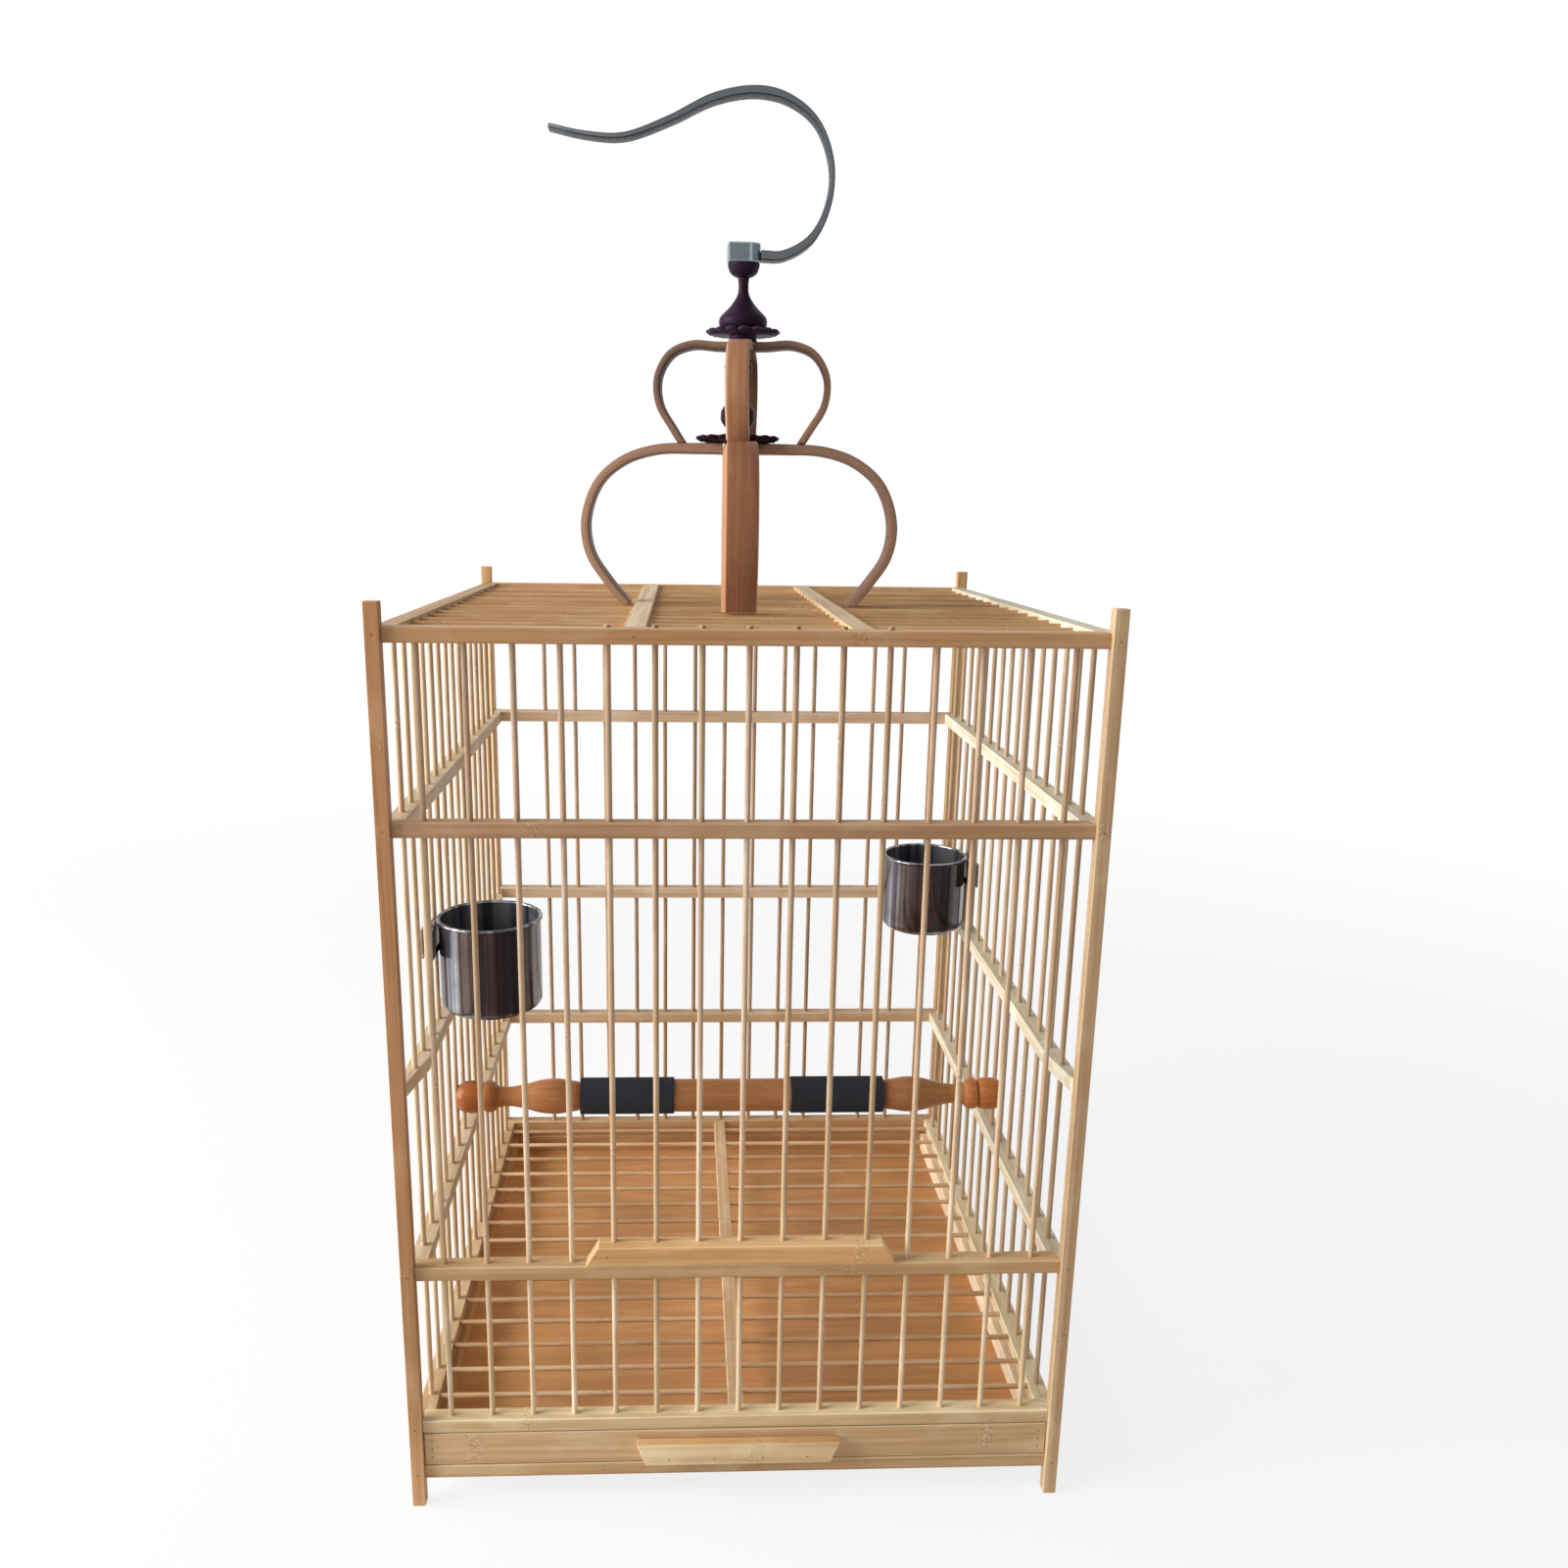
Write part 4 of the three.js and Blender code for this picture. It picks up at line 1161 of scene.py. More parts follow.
# Painted light: how the tone changes up a post, brighter at its foot from the floor's light, and from
# the left across the front right one, brighter on its lit left side
POST_FOOT_LIGHT_SHARES = {
    "left": [
        (0, (1.45, 1.7, 1.85)),
        (0.05, (1.15, 1.3, 1.4)),
        (0.12, (1.02, 1.08, 1.1)),
        (0.2, (1, 1, 1)),
        (0.5, (1, 1, 1)),
    ],
    "right": [
        (0, (1.28, 1.33, 1.35)),
        (0.05, (1.08, 1.1, 1.12)),
        (0.12, (1, 1, 1)),
        (0.5, (1, 1, 1)),
    ],
}
POST_LIT_SIDE_SHARES = [
    (0, (1.1, 1.17, 1.22)),
    (0.0024, (1.07, 1.13, 1.17)),
    (0.0028, (0.97, 0.96, 0.95)),
    (0.0068, (0.94, 0.92, 0.9)),
]

# The edges of a front rail catch the light above and lie in shade below
RAIL_LINE = 0.0013
RAIL_TOP_SHARES = (1.3, 1.45, 1.6)
RAIL_FOOT_SHARES = (0.75, 0.7, 0.65)
RAIL_END_SLOPE = 0.03
WAIST_FOOT = 0.2292


# Posts and rails
def strip(mesh, fibre, name):
    """A board dressed as its own strip, with its cane joint where the photograph shows one"""
    fallback = random.Random(name + " joint").uniform(-JOINT_REACH, JOINT_REACH)
    return dress(mesh, fibre, name, JOINTS.get(name, fallback))


def rail_outline(wall, whole=False):
    """The plan of a rail: front and back rails run between the posts, side rails are notched round
    them where they meet the front and back rails, and slope to the posts where they don't
    """
    if wall in ("front", "back"):
        sign = -1 if wall == "front" else 1
        half = POST_INNER_X
        lines = sorted((sign * RAIL_OUTER_Y, sign * RAIL_INNER_Y))
        return box_outline(-half, half, *lines)
    sign = -1 if wall == "left" else 1
    long_end = high("floor_rail_left", Y)
    if whole:
        slope_start = long_end - RAIL_END_SLOPE
        return [
            (sign * POST_INNER_X, -long_end),
            (sign * RAIL_OUTER_X, -long_end),
            (sign * RAIL_OUTER_X, long_end),
            (sign * POST_INNER_X, long_end),
            (sign * RAIL_INNER_X, slope_start),
            (sign * RAIL_INNER_X, -slope_start),
        ]
    short_end = RAIL_INNER_Y - SEAT_GAP
    return [
        (sign * RAIL_INNER_X, -short_end),
        (sign * POST_INNER_X, -short_end),
        (sign * POST_INNER_X, -long_end),
        (sign * RAIL_OUTER_X, -long_end),
        (sign * RAIL_OUTER_X, long_end),
        (sign * POST_INNER_X, long_end),
        (sign * POST_INNER_X, short_end),
        (sign * RAIL_INNER_X, short_end),
    ]


def rail(wall, foot, top, name, drill=(), whole=False):
    """One rail, drilled where bars slide through it"""
    mesh = prism(rail_outline(wall, whole), Z, foot, top)
    shades = [
        (foot, RAIL_FOOT_SHARES),
        (foot + RAIL_LINE, (1, 1, 1)),
        (top - RAIL_LINE, (1, 1, 1)),
        (top, RAIL_TOP_SHARES),
    ]
    if wall == "front":
        mesh = cut_across(mesh, inner_places(shades))
    if drill:
        radius = BAR_RADIUS + cage().hole_play
        mesh = without(mesh, rods(drill, foot - radius, top + radius, radius))
    fibre = X if wall in ("front", "back") else Y
    mesh = strip(mesh, fibre, name)
    if wall == "front":
        retone(mesh, shades, lambda co: co[Z])
    return mesh


def framed_rail(wall, node, drill=()):
    """A rail as high as its solid"""
    return rail(wall, low(node, Z), high(node, Z), node, drill)


def build_posts():
    """Posts, their outer faces set in by the height of a nail's head"""
    proud = cage().nail_proud
    for end, outer_y in (("front", 0), ("back", 1)):
        for side, outer_x in (("left", 0), ("right", 1)):
            node = f"post_{end}_{side}"
            corners = [list(corner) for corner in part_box(node)]
            corners[outer_x][X] += proud * (1 - 2 * outer_x)
            corners[outer_y][Y] += proud * (1 - 2 * outer_y)
            left = corners[0][X]
            mesh = cut_across(block(*corners), inner_places(POST_FOOT_LIGHT_SHARES[side]))
            if node == "post_front_right":
                mesh = cut_across(mesh, inner_places(POST_LIT_SIDE_SHARES, left), X)
            mesh = strip(mesh, Z, node)
            # Painted light from the floor at the foot, and on the lit left side of the front right
            # post
            retone(mesh, POST_FOOT_LIGHT_SHARES[side], lambda co: co[Z])
            if node == "post_front_right":
                retone(mesh, POST_LIT_SIDE_SHARES, lambda co: co[X] - left)
            place_cane(f"{end}_{side}_post", node, mesh)


def build_rails():
    holes = [(step * BAR_PITCH, -BAR_LINE_Y) for step in range(-DOOR_STEPS, DOOR_STEPS + 1)]
    for wall in ("front", "back", "left", "right"):
        for level in ("top", "floor", "upper"):
            node = f"{level}_rail_{wall}"
            drill = holes if wall == "front" and level != "floor" else ()
            place_cane(f"{wall}_{level}_rail", node, framed_rail(wall, node, drill))


def build_bar_walls():
    rail_height = high("upper_rail_back", Z) - low("upper_rail_back", Z)
    waist_top = WAIST_FOOT + rail_height
    for wall in ("back", "left", "right"):
        node = f"low_rail_{wall}"
        place_cane(f"{wall}_low_rail", node, framed_rail(wall, node))
        comb = f"{wall}_bars_and_waist_rail"
        mesh = rail(wall, WAIST_FOOT, waist_top, comb, whole=wall != "back")
        place_cane(f"{wall}_waist_rail", comb, mesh)
        bars = wall_row(wall, wall, BAR_FOOT, BAR_TOP, SIDE_STEPS)
        place_bars(f"{wall}_bars", bars, [comb])


def build_front_wall():
    gap_half = (DOOR_STEPS + 0.5) * BAR_PITCH
    fixed = [f"front_bar_{index}" for index in range(1, 2 * FIXED_BARS + 1)]
    bars = wall_row("front", "front", BAR_FOOT, BAR_TOP, FRONT_STEPS, gap_half)
    place_bars("front_fixed_bars", bars, fixed)
    node = "low_rail_front_with_short_bars"
    foot, top = low("low_rail_back", Z), high("low_rail_back", Z)
    place_cane("front_low_rail", node, rail("front", foot, top, "low_rail_front"))
    bars = wall_row("front", "short", BAR_FOOT, (foot + top) / 2, DOOR_STEPS)
    place_bars("front_short_bars", bars, [node])


# Door
LEDGE_HEIGHT = 0.0108
LEDGE_SLOPE = 0.0066
LEDGE_DEPTH = 0.0087
LEDGE_NAIL_SHARE = -0.86
# Painted light on the ledge, by height over its foot: painted shade at the foot and a painted
# highlight along its top edge
LEDGE_LIGHT_SHARES = [
    (0, (0.9, 0.86, 0.8)),
    (0.0014, (1, 1, 1)),
    (0.0088, (1, 1, 1)),
    (0.0108, (1.25, 1.5, 1.8)),
]
LEDGE_TONE_SHARES = [
    (-1, (0.95, 1.2, 1.5)),
    (-0.9, (1, 1, 1)),
    (0.6, (1, 1.05, 1.1)),
    (1, (1.08, 1.25, 1.5)),
]


def build_door():
    node = "sliding_door"
    foot = low(node, Z)
    top = foot + LEDGE_HEIGHT
    half = high(node, X)
    short_half = half - LEDGE_SLOPE
    outline = [(-half, foot), (half, foot), (short_half, top), (-short_half, top)]
    front = low(node, Y)
    ledge = prism(outline, Y, front, front + LEDGE_DEPTH)
    ledge = strip(cut_across(ledge, inner_places(LEDGE_LIGHT_SHARES, foot)), X, node)
    retone(ledge, LEDGE_TONE_SHARES, lambda co: co[X] / half)
    # Painted shade at the foot, painted highlight along the top edge
    retone(ledge, LEDGE_LIGHT_SHARES, lambda co: co[Z] - foot)
    place_cane("door_ledge", node, ledge)
    centre = (foot + top) / 2
    bars = wall_row("front", "door", centre, high(node, Z), DOOR_STEPS, wobble=0.0)
    place_bars("door_bars", bars, [node])
    nails("door_nails", [((LEDGE_NAIL_SHARE * half, front, centre), TO_FRONT)], node)


# Base and drawer
def build_base():
    node = "base_rail_front"
    place_cane("front_base_rail", node, framed_rail("front", node))
    node = "base_board_back"
    place_cane("back_base_board", node, strip(block(*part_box(node)), X, node))
    runner_end = RAIL_INNER_Y - SEAT_GAP
    runner_top = high("base_rail_front", Z)
    for side, sign in SIDES:
        node = f"base_board_{side}"
        lows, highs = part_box(node)
        board_xs = sorted((sign * POST_INNER_X, sign * RAIL_OUTER_X))
        runner_xs = sorted((sign * POST_INNER_X, lows[X] if sign > 0 else highs[X]))
        board = block((board_xs[0], lows[Y], lows[Z]), (board_xs[1], highs[Y], highs[Z]))
        runner = (runner_xs[0], -runner_end, lows[Z]), (runner_xs[1], runner_end, runner_top)
        boards = [strip(board, Y, node), strip(block(*runner), Y, node + " runner")]
        place_cane(f"{side}_base_board", node, *boards)


DRAWER_INSET = 0.0003
DRAWER_EASE = 0.0007
DRAWER_NAIL_FROM_END = 0.004
DRAWER_NAIL_ROWS = 4
HANDLE_FOOT_HALF = 0.0482
HANDLE_NAILS_X = (-0.036, -0.0125, 0.0125, 0.036)
HANDLE_NAIL_HEIGHT = 0.0035
HANDLE_TONE_SHARES = [
    (-0.0524, (1.4, 1.55, 1.75)),
    (-0.048, (1, 1, 1)),
    (0.05, (0.97, 0.95, 0.95)),
]
# Painted shade along the top edge of the handle
HANDLE_TOP_SHADE_SHARES = [
    (0, (0.9, 0.78, 0.66)),
    (0.0007, (0.9, 0.78, 0.66)),
    (0.0019, (1, 1, 1)),
    (0.012, (1, 1, 1)),
]
# Painted light and shade across the tray's floor: lighter at the left, where the left wall's shadow
# falls, and light and dark bands
TRAY_FLOOR_LIGHT_SHARES = [
    (-0.155, (1.5, 1.45, 1.3)),
    (-0.125, (1.38, 1.32, 1.15)),
    (-0.086, (1.02, 0.96, 0.85)),
    (-0.035, (1.18, 1.14, 1.05)),
    (0.023, (1.32, 1.3, 1.2)),
    (0.063, (1.06, 0.98, 0.89)),
    (0.155, (1, 0.91, 0.76)),
]


def build_drawer():
    node = "drawer_front"
    lows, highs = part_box(node)
    inset = Vector((0, 0, DRAWER_INSET))
    front = block(Vector(lows) + inset, Vector(highs) - inset, DRAWER_EASE)
    place_cane("drawer_board", node, strip(front, X, node))
    handle_front = low("drawer_handle", Y) + cage().nail_proud
    add_handle("drawer_handle", handle_front)
    add_tray("drawer_tray")
    studs = []
    spacing = (highs[Z] - lows[Z]) / DRAWER_NAIL_ROWS
    for sign in (-1, 1):
        x = sign * (highs[X] - DRAWER_NAIL_FROM_END)
        for row in range(1, DRAWER_NAIL_ROWS):
            studs.append(((x, lows[Y], lows[Z] + row * spacing), TO_FRONT))
    height = low("drawer_handle", Z) + HANDLE_NAIL_HEIGHT
    studs += [((x, handle_front, height), TO_FRONT) for x in HANDLE_NAILS_X]
    nails("drawer_nails", studs, node)


def add_handle(node, front):
    lows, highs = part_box(node)
    foot, top = lows[Z], highs[Z]
    half = HANDLE_FOOT_HALF
    outline = [(-half, foot), (half, foot), (highs[X], top), (lows[X], top)]
    handle = prism(outline, Y, front, highs[Y])
    handle = strip(cut_across(handle, inner_places(HANDLE_TOP_SHADE_SHARES, top, -1)), X, node)
    retone(handle, HANDLE_TONE_SHARES, lambda co: co[X])
    # Painted shade along the top edge
    retone(handle, HANDLE_TOP_SHADE_SHARES, lambda co: top - co[Z])
    place_cane("drawer_pull", node, handle)


def add_tray(node):
    """The tray's floor, its front and back walls and its thicker side walls"""
    (left, front, foot), (right, back, top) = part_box(node)
    board, side = cage().tray_board, cage().tray_side
    floor_top = foot + board
    inner_front, inner_back = front + board, back - board
    boards = [
        (X, (left, front, foot), (right, back, floor_top)),
        (X, (left, front, floor_top), (right, inner_front, top)),
        (X, (left, inner_back, floor_top), (right, back, top)),
        (Y, (left, inner_front, floor_top), (left + side, inner_back, top)),
        (Y, (right - side, inner_front, floor_top), (right, inner_back, top)),
    ]
    dressed = []
    for i, (fibre, lows, highs) in enumerate(boards):
        mesh = block(lows, highs)
        if i == 0:
            mesh = cut_across(mesh, inner_places(TRAY_FLOOR_LIGHT_SHARES), X)
        dressed.append(dress(mesh, fibre, f"tray {i}"))
    # Painted light and shade across the tray's floor
    retone(dressed[0], TRAY_FLOOR_LIGHT_SHARES, lambda co: co[X])
    place_boards("drawer_inside", dressed, "tray_wood", [node])


# Grilles
FLOOR_BEAM_MIDDLE = -0.001
FLOOR_BEAM_HALF = 0.004
FLOOR_BEAM_HEIGHT = 0.006
ROOF_BAR_DROP = 0.0028


def long_board(x, half, foot, top):
    """A board from the front rail to the back rail"""
    end = RAIL_INNER_Y - SEAT_GAP
    return block((x - half, -end, foot), (x + half, end, top))


def build_floor_grille():
    node = "floor_grille"
    foot = low(node, Z)
    beam = long_board(FLOOR_BEAM_MIDDLE, FLOOR_BEAM_HALF, foot, foot + FLOOR_BEAM_HEIGHT)
    place_cane("floor_beam", node, strip(beam, Y, node))
    place_bars("floor_bars", lying_row("floor", node, high(node, Z) - BAR_RADIUS), [node])


def build_roof_grille():
    node = "roof_grille"
    s = cage()
    top = high(node, Z)
    boards = []
    for sign in (-1, 1):
        mesh = long_board(sign * s.strip_place, s.strip_half, top - s.strip_height, top)
        boards.append(strip(mesh, Y, f"roof strip {sign}"))
    place_boards("roof_strips", boards, "roof_bamboo", [node])
    height = high("top_rail_back", Z) - ROOF_BAR_DROP
    place_bars("roof_bars", lying_row("roof", node, height), [node])


def build_nails():
    """Nails that hold the rails to the posts and to the roof strips"""
    proud = cage().nail_proud
    side = high("post_front_right", X) - proud
    front = low("post_front_left", Y) + proud
    back = high("post_back_left", Y) - proud
    studs = []
    heights = [middle(f"{level}_rail_left", Z) for level in ("top", "upper", "low", "floor")]
    heights.append(middle("base_rail_front", Z))
    post_x = (POST_INNER_X + high("post_front_right", X)) / 2
    post_y = (POST_INNER_Y + high("post_back_right", Y)) / 2
    for height in heights:
        for sign in (-1, 1):
            studs.append(((sign * post_x, front, height), TO_FRONT))
            studs.append(((sign * post_x, back, height), TO_BACK))
            studs.append(((sign * side, post_y, height), (sign, 0, 0)))
            studs.append(((sign * side, -post_y, height), (sign, 0, 0)))
    top = middle("top_rail_front", Z)
    for sign in (-1, 1):
        x = sign * cage().strip_place
        studs.append(((x, -RAIL_OUTER_Y, top), TO_FRONT))
        studs.append(((x, RAIL_OUTER_Y, top), TO_BACK))
    nails("frame_nails", studs, "post_front_left")


# Perch, as runs of (along, out) shares of its bare end and of its radius
PERCH_SHARES = [
    [(0, 0.8), (0.03, 0.9), (0.086, 0.96), (0.2, 1.08), (0.33, 0.98), (0.44, 0.75), (0.55, 0.59)],
    [(0.55, 0.59), (0.615, 0.6), (0.665, 0.67)],
    [(0.665, 0.67), (0.68, 0.83), (0.715, 0.94), (0.755, 0.95)],
    [(0.755, 0.95), (0.775, 0.79)],
    [(0.775, 0.79), (0.8, 0.92), (0.865, 0.99), (0.935, 0.92), (0.98, 0.7)],
    [(0.98, 0.7), (1, 0)],
]
PERCH_TONE_SHARES = [
    (-1, (0.68, 0.48, 0.29)),
    (-0.8, (0.9, 0.66, 0.42)),
    (-0.5, (1, 0.95, 0.85)),
    (0, (1, 1, 1)),
    (0.5, (1.1, 1.12, 1.05)),
    (0.8, (1.2, 1.02, 0.7)),
    (1, (1.15, 0.95, 0.6)),
]
PERCH_SEGMENTS = 48
SLOT_EASE = 0.0001


def build_perch():
    s = settings("perch")
    sleeve_end = high("perch_sleeve_right", X)
    y, z = middle("perch", Y), middle("perch", Z)
    end = high("perch", X)
    bare = end - sleeve_end
    runs = []
    for run in PERCH_SHARES:
        runs.append([(out * s.dowel_radius, sleeve_end + along * bare) for along, out in run])
    right = [(s.dowel_radius, sleeve_end), *outline_of(runs)]
    left = [(radius, -along) for radius, along in reversed(right)]
    mesh = lathed([*left, *right], PERCH_SEGMENTS, X, (0, y, z))
    slot_half = BAR_RADIUS + SEAT_GAP
    slot_floor = BAR_LINE_X - slot_half
    reach = 2 * s.dowel_radius
    for sign in (-1, 1):
        xs = sorted((sign * slot_floor, sign * (end + slot_half)))
        lows, highs = (xs[0], y - slot_half, z - reach), (xs[1], y + slot_half, z + reach)
        mesh = without(mesh, block(lows, highs, SLOT_EASE))
    mesh = smooth(dress(mesh, X, "perch"), SHARP_TURNED)

    def bare_share(co):
        return math.copysign(max(abs(co[X]) - sleeve_end, 0) / bare, co[X])

    retone(mesh, PERCH_TONE_SHARES, bare_share)
    place("perch_dowel", mesh, "turned_wood", ["perch"])
    add_sleeves((0, y, z))


def add_sleeves(centre):
    """Tubes of abrasive cloth with eased ends"""
    lows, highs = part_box("perch_sleeve_right")
    bore = settings("perch").sleeve_bore
    outside = (highs[Z] - lows[Z]) / 2
    lip = (outside - bore) / 3
    for side, sign in SIDES:
        start, stop = sorted((sign * lows[X], sign * highs[X]))
        ring = [(bore, start), (outside - lip, start), (outside, start + lip)]
        ring += [(outside, stop - lip), (outside - lip, stop), (bore, stop)]
        mesh = lathed(ring, PERCH_SEGMENTS, X, centre, closed=True)
        mesh = smooth(mesh, SHARP_TURNED)
        place(f"perch_{side}_sleeve", mesh, "sandpaper", [f"perch_sleeve_{side}"])


# Cups and clips
FOOT_RING_SHARES = (0.6, 0.66)
CORNER_STEPS = 6
BEAD_STEPS = 12
BEAD_DEGREES = (-60, 200)
CUP_SEGMENTS = 64
SHEET_EASE = 0.0003
# Painted shade at a cup's foot, darkening the floor's reflection there
FOOT_SHADE_SHARE = 0.45
# How far each cup's painted reflections are turned, in degrees
CUP_REFLECTION_TURN = {"left": 7, "right": -12}

# Painted reflections: light and dark bands round the wall of a cup, by angle to the right of its front
CUP_REFLECTION_SHARES = [
    (-90, (0.4, 0.35, 0.4)),
    (-68, (0.6, 0.6, 0.65)),
    (-60, (2.2, 2.7, 3.1)),
    (-54, (2.6, 3.2, 3.8)),
    (-48, (5.5, 7.4, 8.6)),
    (-43, (5.0, 6.6, 7.6)),
    (-37, (2.0, 2.1, 2.1)),
    (-18, (1.2, 1.05, 1.0)),
    (-8, (0.75, 0.6, 0.62)),
    (6, (0.7, 0.48, 0.5)),
    (20, (0.26, 0.22, 0.29)),
    (36, (0.24, 0.23, 0.3)),
    (44, (0.7, 0.65, 0.65)),
    (54, (1.7, 1.9, 2.0)),
    (66, (2.1, 2.4, 2.6)),
    (76, (1.2, 1.3, 1.4)),
    (90, (0.5, 0.5, 0.5)),
]


def arc(centre, radius, start, end, steps):
    """Points of an arc between two angles in degrees"""
    angles = [math.radians(start + (end - start) * i / steps) for i in range(steps + 1)]
    return [(centre[0] + radius * math.cos(a), centre[1] + radius * math.sin(a)) for a in angles]


def cup_profile(foot, rim, rim_radius):
    """A spun cup: flat foot with a raised middle, rounded corner, straight wall and rolled rim"""
    s = settings("cups")
    outside = s.body_radius
    inside = outside - s.wall
    corner = s.foot_corner
    corner_at = (outside - corner, foot + corner)
    bead = (rim_radius - inside) / 2
    ring_in, ring_out = [share * outside for share in FOOT_RING_SHARES]
    raised, floor = foot + s.wall, foot + 2 * s.wall
    profile = [(0, raised), (ring_in, raised), (ring_out, foot)]
    profile += arc(corner_at, corner, -90, 0, CORNER_STEPS)
    profile.append((outside, rim - 2 * bead))
    profile += arc((inside + bead, rim - bead), bead, *BEAD_DEGREES, BEAD_STEPS)
    profile.append((inside, rim - 3 * bead))
    profile += arc(corner_at, corner - s.wall, 0, -90, CORNER_STEPS)
    return profile + [(ring_out, raised), (ring_in, floor), (0, floor)]


def tone_cup(mesh, centre, foot, rim, facing):
    """Painted light on a cup: a painted highlight on the rim, a painted sheen on the dull inside,
    painted light on the lug, painted reflections as bands round the wall and painted shade at its foot
    """
    s = settings("cups")
    within_wall = s.body_radius - s.wall / 2
    past_wall = s.body_radius + 2 * s.wall
    tones = []
    for vert in mesh.vertices:
        x, y = vert.co[X] - centre[X], vert.co[Y] - centre[Y]
        from_axis = math.hypot(x, y)
        # Painted highlight on the rim, painted sheen inside, painted light on the lug
        if vert.co[Z] > rim - s.rim_band and from_axis < past_wall:
            tone = s.rim_highlight_tone
        elif from_axis < within_wall and vert.co[Z] > foot + 1.5 * s.wall:
            tone = s.inside_sheen_tone
        elif from_axis > past_wall:
            tone = s.lug_light_tone
        else:
            # Painted reflections as bands round the wall
            tone = tone_at(CUP_REFLECTION_SHARES, math.degrees(math.atan2(x, -y)) - facing)
            # Painted shade at the foot
            if vert.co[Z] < foot + s.foot_corner / 2:
                tone = [FOOT_SHADE_SHARE * part for part in tone]
        tones += tone
    mark(mesh, "tone", "FLOAT_VECTOR", "POINT", tones)


def wall_block(sign, near, far, y, half, foot, top, ease=SHEET_EASE):
    """A plate between two distances inward from the line of the wall bars"""
    xs = sorted((sign * (BAR_LINE_X - near), sign * (BAR_LINE_X - far)))
    return block((xs[0], y - half, foot), (xs[1], y + half, top), ease)


def build_cups():
    s = settings("cups")
    for side, sign in SIDES:
        node = f"cup_{side}"
        lows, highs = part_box(node)
        y = (lows[Y] + highs[Y]) / 2
        rim_radius = (highs[Y] - lows[Y]) / 2
        x = highs[X] - rim_radius if sign < 0 else lows[X] + rim_radius
        bowl = lathed(cup_profile(lows[Z], highs[Z], rim_radius), CUP_SEGMENTS, Z, (x, y, 0))
        top = highs[Z] - s.lug_drop
        reach = BAR_LINE_X - abs(x) - s.body_radius + s.wall / 2
        far = s.lug_near + s.plate
        arm = wall_block(sign, s.lug_near, reach, y, s.lug_half, top - s.plate, top)
        tab = wall_block(sign, s.lug_near, far, y, s.lug_half, top - s.lug_length, top)
        mesh = smooth(joined([bowl, arm, tab]), SHARP_TURNED)
        tone_cup(mesh, (x, y), lows[Z], highs[Z], CUP_REFLECTION_TURN[side])
        place(f"{side}_cup", mesh, "cup_steel", [node])


def build_clips():
    s = settings("cups")
    near, far = s.clip_from_bars, s.clip_from_bars + s.plate
    for side, sign in SIDES:
        node = f"cup_clip_{side}"
        y, foot, top = middle(node, Y), low(node, Z), high(node, Z)
        plates = [
            wall_block(sign, near, far, y, s.inner_half, foot, top),
            wall_block(sign, -far, -near, y, s.outer_half, foot, top),
            wall_block(sign, -far, far, y, s.bridge_half, foot, foot + s.bridge_height),
        ]
        place(f"{side}_cup_clip", smooth(joined(plates), SHARP_BOARD), "clip_steel", [node])


# Hoops, bent from flat strips along half outlines of (out, up) as shares of half span and height
HOOPS = {
    "lower": {
        "height": 0.08515,
        "half_span": 0.0862,
        "thickness": 0.0058,
        "leg_thickness": 0.0044,
        "width": 0.0188,
        "bevels": (0.0022, 0.0006),
        "inner_shade_share": 0.6,
        "arch_shade_share": 1,
        "turn": -2,
        "across": [(0.29, 1), (0.535, 0.99)],
        "front_to_back": [(0.29, 1), (0.535, 0.99)],
        "legs": [
            (0.75, 0.92), (0.915, 0.777), (1, 0.537), (0.974, 0.326), (0.868, 0.155), (0.68, -0.073)
        ],
    },
    "upper": {
        "height": 0.0506,
        "half_span": 0.0464,
        "thickness": 0.0044,
        "leg_thickness": 0.0038,
        "width": 0.0126,
        "bevels": (0.0008, 0.0004),
        "inner_shade_share": 0.3,
        "arch_shade_share": 0.4,
        "turn": -6,
        "across": [(0.28, 1), (0.6, 1.012)],
        "front_to_back": [(0.28, 0.998), (0.6, 0.975)],
        "legs": [(0.85, 0.917), (1, 0.68), (0.983, 0.403), (0.82, 0.146), (0.647, -0.095)],
    },
}
HOOP_STEPS = 10
HOOP_CORNER = 0.0006
THINNING = 4
ARCH_START_SHARE = 0.3
ARCH_FULL_SHARE = 0.6
HOOP_TONE_SHARES = {
    "lower_hoop_across": (0.76, 0.76, 0.87),
    "lower_hoop_front_to_back": (0.88, 0.77, 0.68),
    "upper_hoop_across": (0.66, 0.67, 0.77),
    "upper_hoop_front_to_back": (1.25, 1.24, 1.2),
}
UPPER_HOOP_SHARES = [
    (-1, (0.62, 0.6, 0.64)),
    (-0.6, (0.8, 0.78, 0.8)),
    (-0.3, (1, 1, 1)),
    (1, (1, 1, 1)),
]
CORNER_ARC_STEPS = 3

# Which points of a section stand on its sides, and how far each lies to its inner face, where a hoop's
# painted shade falls
SECTION_SIDES = (0, 7, 8, 15)
SECTION_INNER_SHARES = {8: 0.5, 9: 0.5, 10: 0.5, 11: 1, 12: 1, 13: 0.5, 14: 0.5, 15: 0.5}


def rounded_section(width, thickness_low, thickness_high, corner, bevels=(0, 0)):
    """Points round a flat strip's section as (across, out), its corners rounded, its sides sloped"""
    half = width / 2 - corner
    upper, lower = thickness_high - corner, thickness_low + corner
    centres = [(half - bevels[0], upper), (bevels[1] - half, upper), (-half, lower), (half, lower)]
    points = []
    for i, centre in enumerate(centres):
        points += arc(centre, corner, 90 * i, 90 * i + 90, CORNER_ARC_STEPS)
    return points


